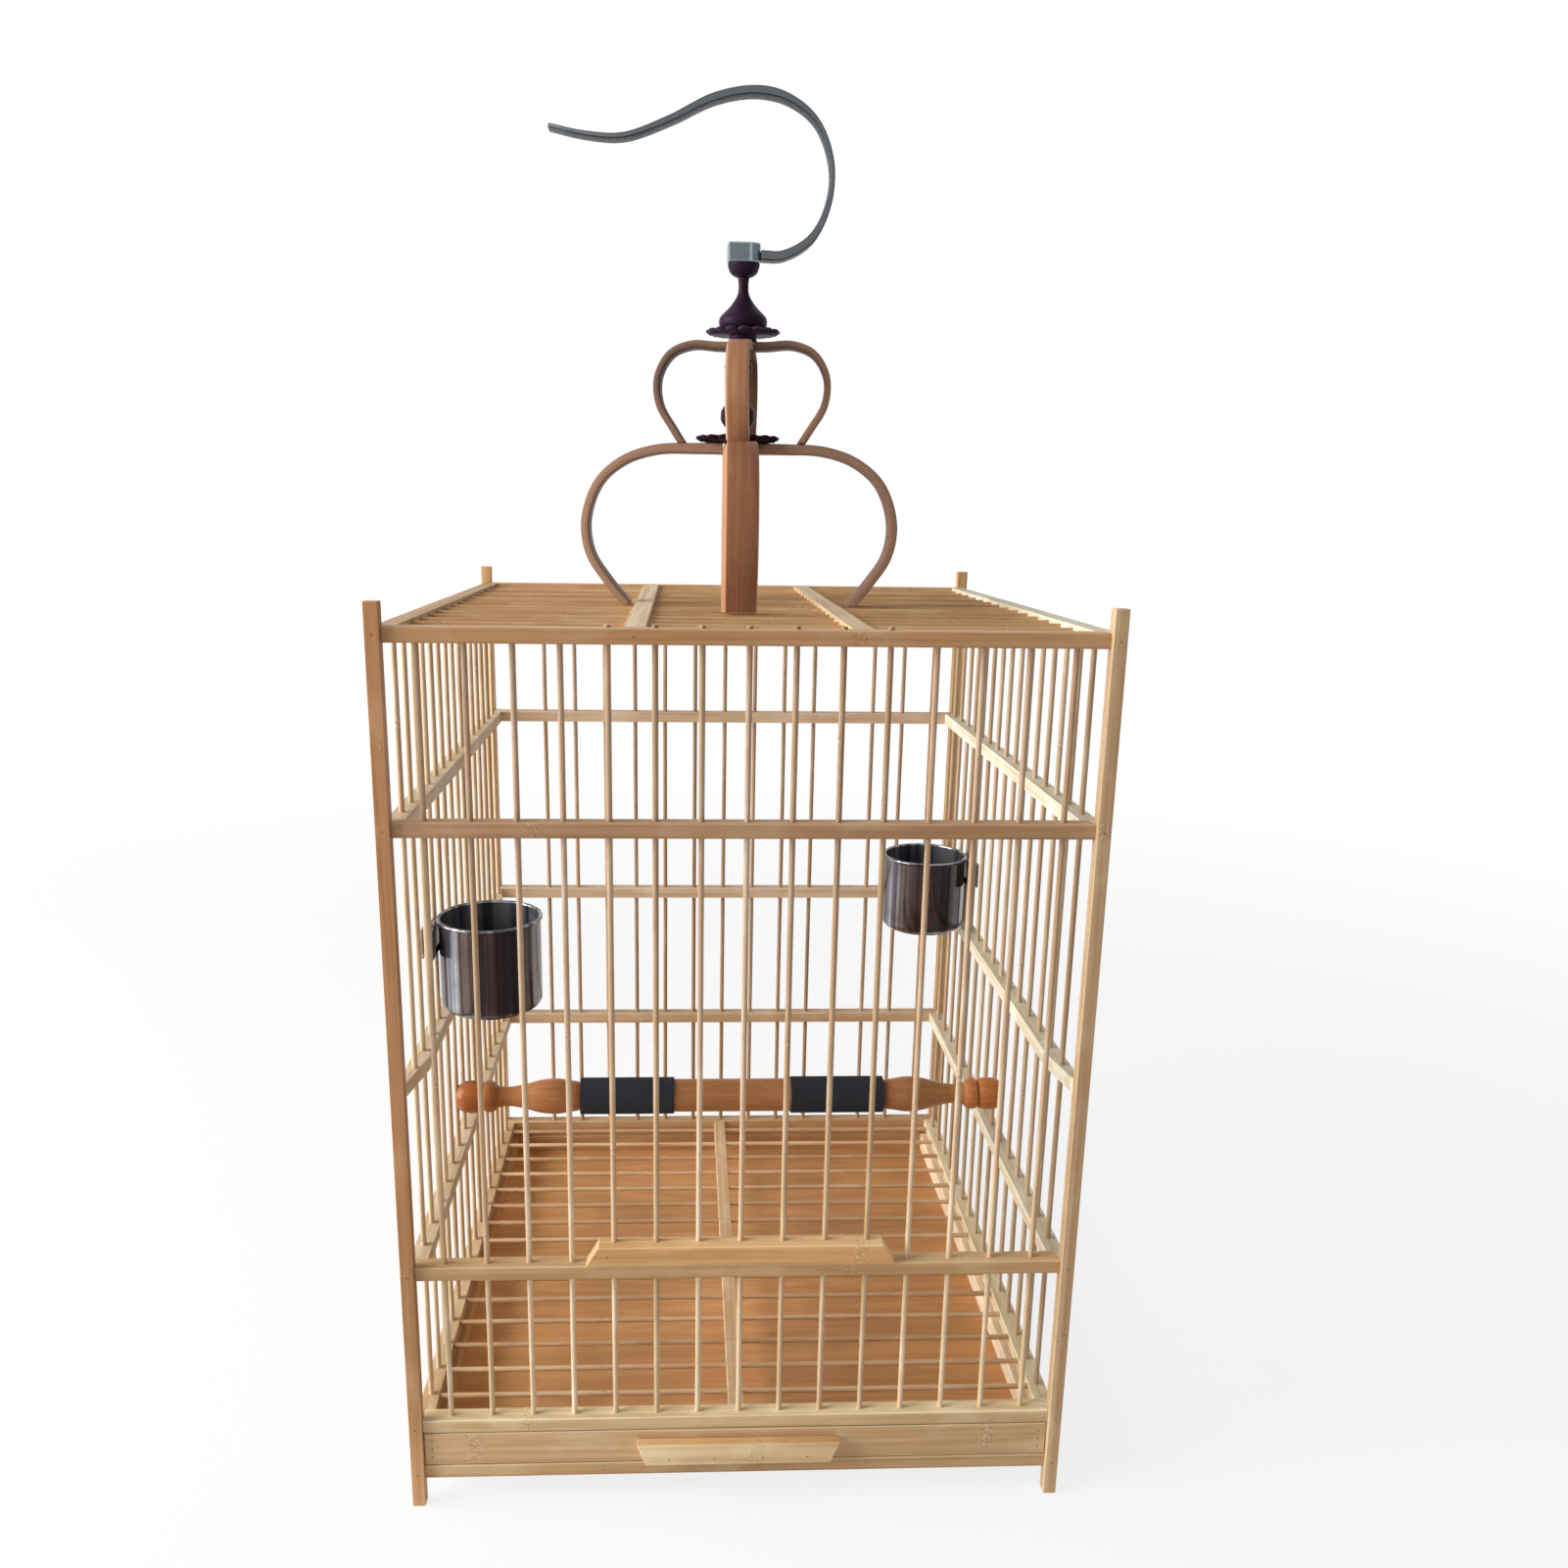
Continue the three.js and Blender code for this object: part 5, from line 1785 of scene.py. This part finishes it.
def directions(points):
    """The way that each point of a run goes on"""
    ways = []
    for i in range(len(points)):
        before, after = points[max(i - 1, 0)], points[min(i + 1, len(points) - 1)]
        ways.append((after - before).normalized())
    return ways


def stations_along(run, section_at):
    """For each point of a run the way out of it, its section and its distance along"""
    lengths = [0.0, *((b - a).length for a, b in zip(run, run[1:]))]
    total = sum(lengths)
    stations = []
    along = 0.0
    for point, way, length in zip(run, directions(run), lengths):
        along += length
        stations.append([point, Vector((-way[1], way[0])), section_at(along / total), along])
    return stations


def swept(stations, grain_shift=(0.0, 0.0)):
    """A closed body from stations in the XZ plane"""
    shape = bmesh.new()
    grain = shape.verts.layers.float_vector.new("grain")
    edge = shape.verts.layers.float.new("edge")
    inner = shape.verts.layers.float.new("inner")
    rings = []
    for point, out, section, along in stations:
        ring = []
        for i, (across, away) in enumerate(section):
            vert = shape.verts.new((point[0] + out[0] * away, across, point[1] + out[1] * away))
            vert[grain] = (along, across + grain_shift[0], away + grain_shift[1])
            vert[edge] = float(i in SECTION_SIDES)
            vert[inner] = SECTION_INNER_SHARES.get(i, 0)
            ring.append(vert)
        rings.append(ring)
    return skinned(shape, rings, "swept", capped=True)


def hoop_mesh(pair, foot, name, notch_above):
    """Half a hoop mirrored over the crown, thinner in its legs, with its lap cut at the crown"""
    shares = [(0, 1), *pair[name], *pair["legs"]]
    half_span, height = pair["half_span"], pair["height"]
    points = [(out * half_span, foot + up * height) for out, up in shares]
    half_run = curve_through(points, HOOP_STEPS)
    kept = [point for point in half_run if point[1] > foot]
    above, below = kept[-1], half_run[len(kept)]
    kept.append(above.lerp(below, (above[1] - foot) / (above[1] - below[1])))
    run = [Vector((-point[0], point[1])) for point in reversed(kept[1:])] + kept

    def section_at(share):
        thinned = min(1, THINNING * abs(share - 0.5))
        thickness = pair["thickness"] - (pair["thickness"] - pair["leg_thickness"]) * thinned
        half = thickness / 2
        return rounded_section(pair["width"], -half, half, HOOP_CORNER, pair["bevels"])

    stations = notched(stations_along(run, section_at), pair, notch_above)
    ways = directions(run)
    stations[0] = flat_foot(stations[0], ways[0])
    stations[-1] = flat_foot(stations[-1], ways[-1])
    chance = random.Random(f"{ways[-1]} {height}")
    return swept(stations, (chance.uniform(-1, 1), chance.uniform(-1, 1)))


def notched(stations, pair, notch_above):
    """Stations with half the thickness taken away where the other hoop of the pair crosses"""
    point, out, section, crown = stations[len(stations) // 2]
    reach = pair["width"] / 2 + SEAT_GAP
    half = pair["thickness"] / 2
    gap = SEAT_GAP / 2
    span = (-half, -gap) if notch_above else (gap, half)
    slim = rounded_section(pair["width"], *span, HOOP_CORNER, [b / 2 for b in pair["bevels"]])
    lap = []
    for sign, sections in ((-1, (section, slim)), (1, (slim, section))):
        edge = point + Vector((sign * reach, 0))
        lap += [[edge, out, shape, crown + sign * reach] for shape in sections]
    before = [station for station in stations if station[3] < crown - reach]
    after = [station for station in stations if station[3] > crown + reach]
    return before + lap + after


def flat_foot(station, way):
    """The last station moved along its strip so that it ends flat on the bars"""
    point, out, section, along = station
    return [point, Vector((out[0] - way[0] * (out[1] / way[1]), 0)), section, along]


def tone_hoop(mesh, pair, tone):
    """Paints shade on the inner face of a hoop, and on the inner half of its sides in the arch"""
    heights = [vert.co[Z] for vert in mesh.vertices]
    foot, top = min(heights), max(heights)
    tones = []
    for height, inner in zip(heights, mesh.attributes["inner"].data):
        share = 1
        if inner.value == 1:
            share = pair["inner_shade_share"]
        elif inner.value:
            up = (height - foot) / (top - foot)
            arch = min(max((up - ARCH_START_SHARE) / (ARCH_FULL_SHARE - ARCH_START_SHARE), 0), 1)
            share = 1 - (1 - pair["arch_shade_share"]) * arch
        tones += [share * part for part in tone]
    mark(mesh, "tone", "FLOAT_VECTOR", "POINT", tones)


def build_hoops():
    for level, pair in HOOPS.items():
        for name, notch_above in (("across", True), ("front_to_back", False)):
            node = f"{level}_hoop_{name}"
            mesh = hoop_mesh(pair, low(node, Z), name, notch_above)
            shift = middle(node, X)
            degrees = pair["turn"] + (0 if notch_above else 90)
            turn = Matrix.Rotation(math.radians(degrees), 4, "Z")
            mesh.transform(Matrix.Translation((shift, 0, 0)) @ turn)
            tone_hoop(mesh, pair, HOOP_TONE_SHARES[node])
            if node == "upper_hoop_across":
                retone(mesh, UPPER_HOOP_SHARES, lambda co: (co[X] - shift) / pair["half_span"])
            place(f"{level}_hoop_{name.split('_')[0]}", smooth(mesh), "brown_bamboo", [node])


# Turned and carved pieces on the axis, as (out, up) shares of radius and height
DISC_SHARES = [
    (0, 0), (0.62, 0), (0.8, 0.08), (0.92, 0.26), (0.99, 0.5), (1, 0.68), (0.97, 0.88),
    (0.91, 0.98), (0.84, 0.9), (0.76, 0.7), (0.7, 0.66), (0.64, 0.78), (0.58, 1), (0, 1),
]
STEM_SHARES = [
    [(0, 0), (0.67, 0)],
    [
        (0.67, 0), (0.6, 0.03), (0.57, 0.06), (0.8, 0.11), (0.99, 0.174), (1.0, 0.23),
        (0.98, 0.288), (0.8, 0.35), (0.57, 0.402),
    ],
    [(0.57, 0.402), (0.5, 0.5), (0.5, 0.63), (0.57, 0.733)],
    [(0.57, 0.733), (0.74, 0.755), (0.8, 0.8), (0.8, 0.833), (0.7, 0.865), (0.57, 0.879)],
    [(0.57, 0.879), (0.56, 0.94), (0.63, 1)],
    [(0.63, 1), (0, 1)],
]
BELL_SHARES = [
    [(0, 0), (0.92, 0)],
    [(0.92, 0), (0.98, 0.05), (1, 0.11), (0.97, 0.165), (0.9, 0.205)],
    [
        (0.9, 0.205), (0.76, 0.26), (0.58, 0.33), (0.42, 0.41), (0.29, 0.49), (0.22, 0.57),
        (0.205, 0.67), (0.23, 0.79),
    ],
    [(0.23, 0.79), (0.42, 0.82), (0.56, 0.87), (0.62, 0.93), (0.65, 0.965)],
    [(0.65, 0.965), (0.66, 1)],
    [(0.66, 1), (0, 1)],
]
HUB_SHARES = [[(0, 0), (1, 0)], [(1, 0), (0.92, 0.4), (1, 1)], [(1, 1), (0, 1)]]
TURNED_SEGMENTS = 56
HUB_RADIUS = 0.008
PETAL_HEIGHT = 0.0034
LOBE_POINTS = 12
PETAL_POWER = 0.6
GROOVE_SHARE = 1.2
GROOVE_OUT = 0.66
GROOVE_UP = 0.3


def outer_radius(node):
    return (high(node, X) - low(node, X)) / 2


def carved_disc(node, foot):
    """A disc with small upturned petals round a shallow channel, and a flat seat in its middle"""
    s = settings("hanger")
    x, radius = middle(node, X), outer_radius(node)
    height = high(node, Z) - foot
    shape = bmesh.new()
    rings = []
    for out, up in DISC_SHARES:
        ring = []
        depth = GROOVE_SHARE * max(0, out - GROOVE_OUT) if up > GROOVE_UP else 0
        for angle in ring_angles(LOBE_POINTS * s.lobes if out else 1):
            gap = 1 - abs(math.cos(s.lobes * angle / 2)) ** PETAL_POWER
            reach = radius * out * (1 - s.lobe_depth * out * gap)
            z = foot + (up - depth * gap) * height
            ring.append(shape.verts.new((x + reach * math.cos(angle), reach * math.sin(angle), z)))
        rings.append(ring)
    return skinned(shape, rings, "disc")


def turned_piece(node, runs, radius, top):
    foot = low(node, Z)
    scaled = [[(out * radius, foot + up * (top - foot)) for out, up in run] for run in runs]
    return lathed(outline_of(scaled), TURNED_SEGMENTS, Z, (middle(node, X), 0, 0))


def build_crown():
    crown = carved_disc("crown_disc", low("crown_disc", Z))
    stem = turned_piece("stem", STEM_SHARES, outer_radius("stem"), high("stem", Z))
    disc = "petal_disc"
    rim = carved_disc(disc, high(disc, Z) - PETAL_HEIGHT)
    hub = turned_piece(disc, HUB_SHARES, HUB_RADIUS, high(disc, Z) - PETAL_HEIGHT / 2)
    bell = turned_piece("bell", BELL_SHARES, outer_radius("bell"), high("bell", Z))
    pieces = (
        ("carved", "crown", crown, X, "crown_disc"),
        ("turned", "stem", stem, Z, "stem"),
        ("carved", "petals", joined([rim, hub]), X, disc),
        ("turned", "bell", bell, Z, "bell"),
    )
    for make, name, mesh, fibre, node in pieces:
        place(f"{make}_{name}", smooth(dress(mesh, fibre, name)), "dark_wood", [node])


# Hook, its bend as (out, up) shares of its rise, its thickness as shares of the root's
HOOK_SHARES = [
    (0.26, 0.003),
    (0.4475, 0.11),
    (0.5575, 0.32),
    (0.575, 0.57),
    (0.4725, 0.82),
    (0.285, 0.9575),
    (0.0725, 1),
    (-0.2025, 0.9525),
    (-0.5025, 0.814),
    (-0.8025, 0.71),
    (-1.0525, 0.715),
    (-1.29, 0.7575),
]
HOOK_ROOT_THICKNESS = 0.0049
HOOK_THICKNESS_SHARES = [1, 0.86, 0.49, 0.53, 0.86, 0.82, 0.65, 0.53, 0.41]
HOOK_TONE_SHARES = [
    (-1.29, (2.2, 2.2, 2.2)),
    (-1.15, (1.5, 1.5, 1.5)),
    (-0.7, (1, 1, 1)),
    (1, (1, 1, 1)),
]
HOOK_STEPS = 12
HOOK_CORNER = 0.0007
HEAD_FACET = (0.0052, 0.0026)
HEAD_CORNER = 0.0012
PIN_RADIUS = 0.0016


def build_hook():
    add_hook_head(high("bell", Z) + SEAT_GAP)
    add_hook_bar(high("bell", Z) + SEAT_GAP)


def add_hook_head(foot):
    """The head block with one corner cut off, on the pin that turns in the bell"""
    lows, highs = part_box("hook_head")
    x = middle("hook_head", X)
    half_x = (highs[X] - lows[X]) / 2
    half_y = (highs[Y] - lows[Y]) / 2
    facet_x, facet_y = HEAD_FACET
    outline = [
        (x - half_x, -half_y),
        (x + half_x - facet_x, -half_y),
        (x + half_x, -half_y + facet_y),
        (x + half_x, half_y),
        (x - half_x, half_y),
    ]
    body = prism(outline, Z, foot, highs[Z], HEAD_CORNER)
    pin = rods([(x, 0)], lows[Z], foot + HEAD_CORNER, PIN_RADIUS)
    mesh = smooth(joined([body, pin]), SHARP_TURNED)
    mesh = applied(mesh, "WEIGHTED_NORMAL", keep_sharp=True)
    tone_mesh(mesh, settings("hanger").head_tone)
    place("hook_block", mesh, "grey_metal", ["hook_head"])


def hook_section(share):
    """The flat bar's section, at a share of its length"""
    last = len(HOOK_THICKNESS_SHARES) - 1
    along = min(share, 1) * last
    before = min(int(along), last - 1)
    first, second = HOOK_THICKNESS_SHARES[before : before + 2]
    half = HOOK_ROOT_THICKNESS * (first + (second - first) * (along - before)) / 2
    return rounded_section(settings("hanger").hook_width, -half, half, HOOK_CORNER)


def add_hook_bar(head_foot):
    s = settings("hanger")
    x = middle("hook_head", X)
    root = (high("hook_head", X) + SEAT_GAP, head_foot + s.hook_root)
    bend = [(x + out * s.hook_rise, root[1] + up * s.hook_rise) for out, up in HOOK_SHARES]
    mesh = swept(stations_along(curve_through([root, *bend], HOOK_STEPS), hook_section))
    tone_mesh(mesh, (1, 1, 1))
    retone(mesh, HOOK_TONE_SHARES, lambda co: (co[X] - x) / s.hook_rise)
    place("hook_strip", smooth(mesh, SHARP_TURNED), "grey_metal", ["hook_bar"])


# Stage
IMAGE_SIDE = 1601
FOCAL_PIXELS = 1313.4
VIEW_CENTRE_PIXELS = (755.3, 844.7)
SENSOR = 36
CLIP_START = 0.01
LAMP_SIZE = 1.6
LAMP_TARGET = (0, 0, 0.3)
LAMPS = {
    "key": ((-1.95, -0.39, 0.97), (1.0, 0.985, 0.96)),
    "fill": ((-0.5, -2.2, 0.9), (1.0, 0.99, 0.98)),
}
FLOOR_RADIUS = 30
FLOOR_SEGMENTS = 96
FLOOR_FADE = (0.5, 1.8)
FLOOR_GLOW_SHARE = 0.82


def build_stage():
    s = settings("stage")
    bpy.context.scene.view_settings.view_transform = "Standard"
    add_camera(s)
    for name, (point, colour) in LAMPS.items():
        add_lamp(name, point, getattr(s, name), colour)
    add_backdrop(s)
    add_floor(s)


def add_camera(s):
    camera = link_object("camera", bpy.data.cameras.new("camera"))
    flat = math.cos(s.tilt)
    forward = Vector((math.sin(s.turn) * flat, math.cos(s.turn) * flat, -math.sin(s.tilt)))
    level = Vector((math.cos(s.turn), -math.sin(s.turn), 0))
    upright = level.cross(forward)
    right = level * math.cos(s.roll) + upright * math.sin(s.roll)
    up = upright * math.cos(s.roll) - level * math.sin(s.roll)
    aim = Matrix((right, up, -forward)).transposed().to_4x4()
    camera.matrix_world = Matrix.Translation(s.camera_place) @ aim
    camera.data.sensor_width = SENSOR
    camera.data.lens = SENSOR * FOCAL_PIXELS / IMAGE_SIDE
    camera.data.shift_x = 0.5 - VIEW_CENTRE_PIXELS[0] / IMAGE_SIDE
    camera.data.shift_y = VIEW_CENTRE_PIXELS[1] / IMAGE_SIDE - 0.5
    camera.data.clip_start = CLIP_START
    bpy.context.scene.camera = camera


def add_lamp(name, point, power, colour):
    light = bpy.data.lights.new(name, "AREA")
    light.size = LAMP_SIZE
    light.energy = power
    light.color = colour
    aim = (Vector(LAMP_TARGET) - Vector(point)).to_track_quat("-Z", "Y").to_matrix().to_4x4()
    link_object(name, light).matrix_world = Matrix.Translation(point) @ aim


def add_backdrop(s):
    """Even light from all round, and the white that shows behind the floor"""
    world = bpy.data.worlds.new("even_light")
    bpy.context.scene.world = world
    world.use_nodes = True
    tree = world.node_tree
    tree.nodes.clear()
    seen = add_node(tree, "ShaderNodeBackground", {0: (*s.backdrop, 1), 1: 1.0}).outputs[0]
    ambient = add_node(tree, "ShaderNodeBackground", {0: (1, 1, 1, 1), 1: s.ambient}).outputs[0]
    picked = add_node(tree, "ShaderNodeMixShader", {0: seen_ray(tree), 1: ambient, 2: seen})
    add_node(tree, "ShaderNodeOutputWorld", {0: picked.outputs[0]})


def seen_ray(tree):
    """1 for camera, mirror and glass rays, which see the white backdrop"""
    path = add_node(tree, "ShaderNodeLightPath").outputs
    seen = maths(tree, "MAXIMUM", path["Is Camera Ray"], path["Is Glossy Ray"])
    return maths(tree, "MAXIMUM", seen, path["Is Transmission Ray"])


def add_floor(s):
    """A matte floor that fades into the backdrop with distance"""
    shape = bmesh.new()
    bmesh.ops.create_circle(shape, cap_ends=True, segments=FLOOR_SEGMENTS, radius=FLOOR_RADIUS)
    floor = link_object("floor", to_mesh(shape, "floor"))
    material, tree = new_material("floor")
    matte = add_node(tree, "ShaderNodeBsdfDiffuse", {0: (*s.floor, 1)}).outputs[0]
    glow = add_node(tree, "ShaderNodeEmission", {0: (*s.backdrop, 1), 1: 1.0}).outputs[0]
    distance = vector_maths(tree, "LENGTH", {0: object_point(tree)}, "Value")
    glow_share = eased_range(tree, distance, *FLOOR_FADE, FLOOR_GLOW_SHARE, 1)
    share = product(tree, seen_ray(tree), glow_share)
    mix = add_node(tree, "ShaderNodeMixShader", {0: share, 1: matte, 2: glow})
    add_node(tree, "ShaderNodeOutputMaterial", {0: mix.outputs[0]})
    floor.data.materials.append(material)


# Add-on
def operator(name, description, build):
    """An operator class that builds one piece, or one group of like pieces"""

    def execute(self, context):
        build()
        return {"FINISHED"}

    body = {
        "__doc__": description,
        "bl_idname": f"birdcage.{name}",
        "bl_label": name.replace("_", " ").capitalize(),
        "execute": execute,
    }
    return type(f"BIRDCAGE_OT_{name}", (bpy.types.Operator,), body)


OPERATORS = [
    operator("stage", "Adds the camera, the light and the floor", build_stage),
    operator("posts", "Adds the four corner posts", build_posts),
    operator("rails", "Adds the top, upper and floor rails", build_rails),
    operator("bar_walls", "Adds the back and side walls", build_bar_walls),
    operator("front_wall", "Adds the fixed front bars and the low rail", build_front_wall),
    operator("door", "Adds the sliding door", build_door),
    operator("base", "Adds the base boards", build_base),
    operator("drawer", "Adds the drawer with its tray and handle", build_drawer),
    operator("floor_grille", "Adds the grille over the tray", build_floor_grille),
    operator("roof_grille", "Adds the roof bars and strips", build_roof_grille),
    operator("nails", "Adds the nails of the frame", build_nails),
    operator("perch", "Adds the perch and its sleeves", build_perch),
    operator("cups", "Adds the two steel cups", build_cups),
    operator("clips", "Adds the clips that hold the cups", build_clips),
    operator("hoops", "Adds the four bent hoops", build_hoops),
    operator("crown", "Adds the turned and carved pieces", build_crown),
    operator("hook", "Adds the hook and its head", build_hook),
]


class BIRDCAGE_PT_panel(bpy.types.Panel):
    """Lists the settings and the pieces of the birdcage"""

    bl_label = "Birdcage"
    bl_space_type = "VIEW_3D"
    bl_region_type = "UI"
    bl_category = "Birdcage"

    def draw(self, context):
        for cls in OPERATORS:
            self.layout.operator(cls.bl_idname)
        for name, cls in SETTINGS.items():
            box = self.layout.box()
            box.label(text=cls.__doc__)
            for setting in cls.__annotations__:
                box.prop(getattr(context.scene, name), setting)


def register():
    for cls in (*SETTINGS.values(), *OPERATORS, BIRDCAGE_PT_panel):
        bpy.utils.register_class(cls)
    for name, cls in SETTINGS.items():
        setattr(bpy.types.Scene, name, PointerProperty(type=cls))


def unregister():
    for name in SETTINGS:
        delattr(bpy.types.Scene, name)
    for cls in (BIRDCAGE_PT_panel, *reversed(OPERATORS), *reversed(SETTINGS.values())):
        bpy.utils.unregister_class(cls)


def main():
    register()
    for cls in OPERATORS:
        getattr(bpy.ops.birdcage, cls.bl_idname.split(".")[1])()


if __name__ == "__main__":
    main()
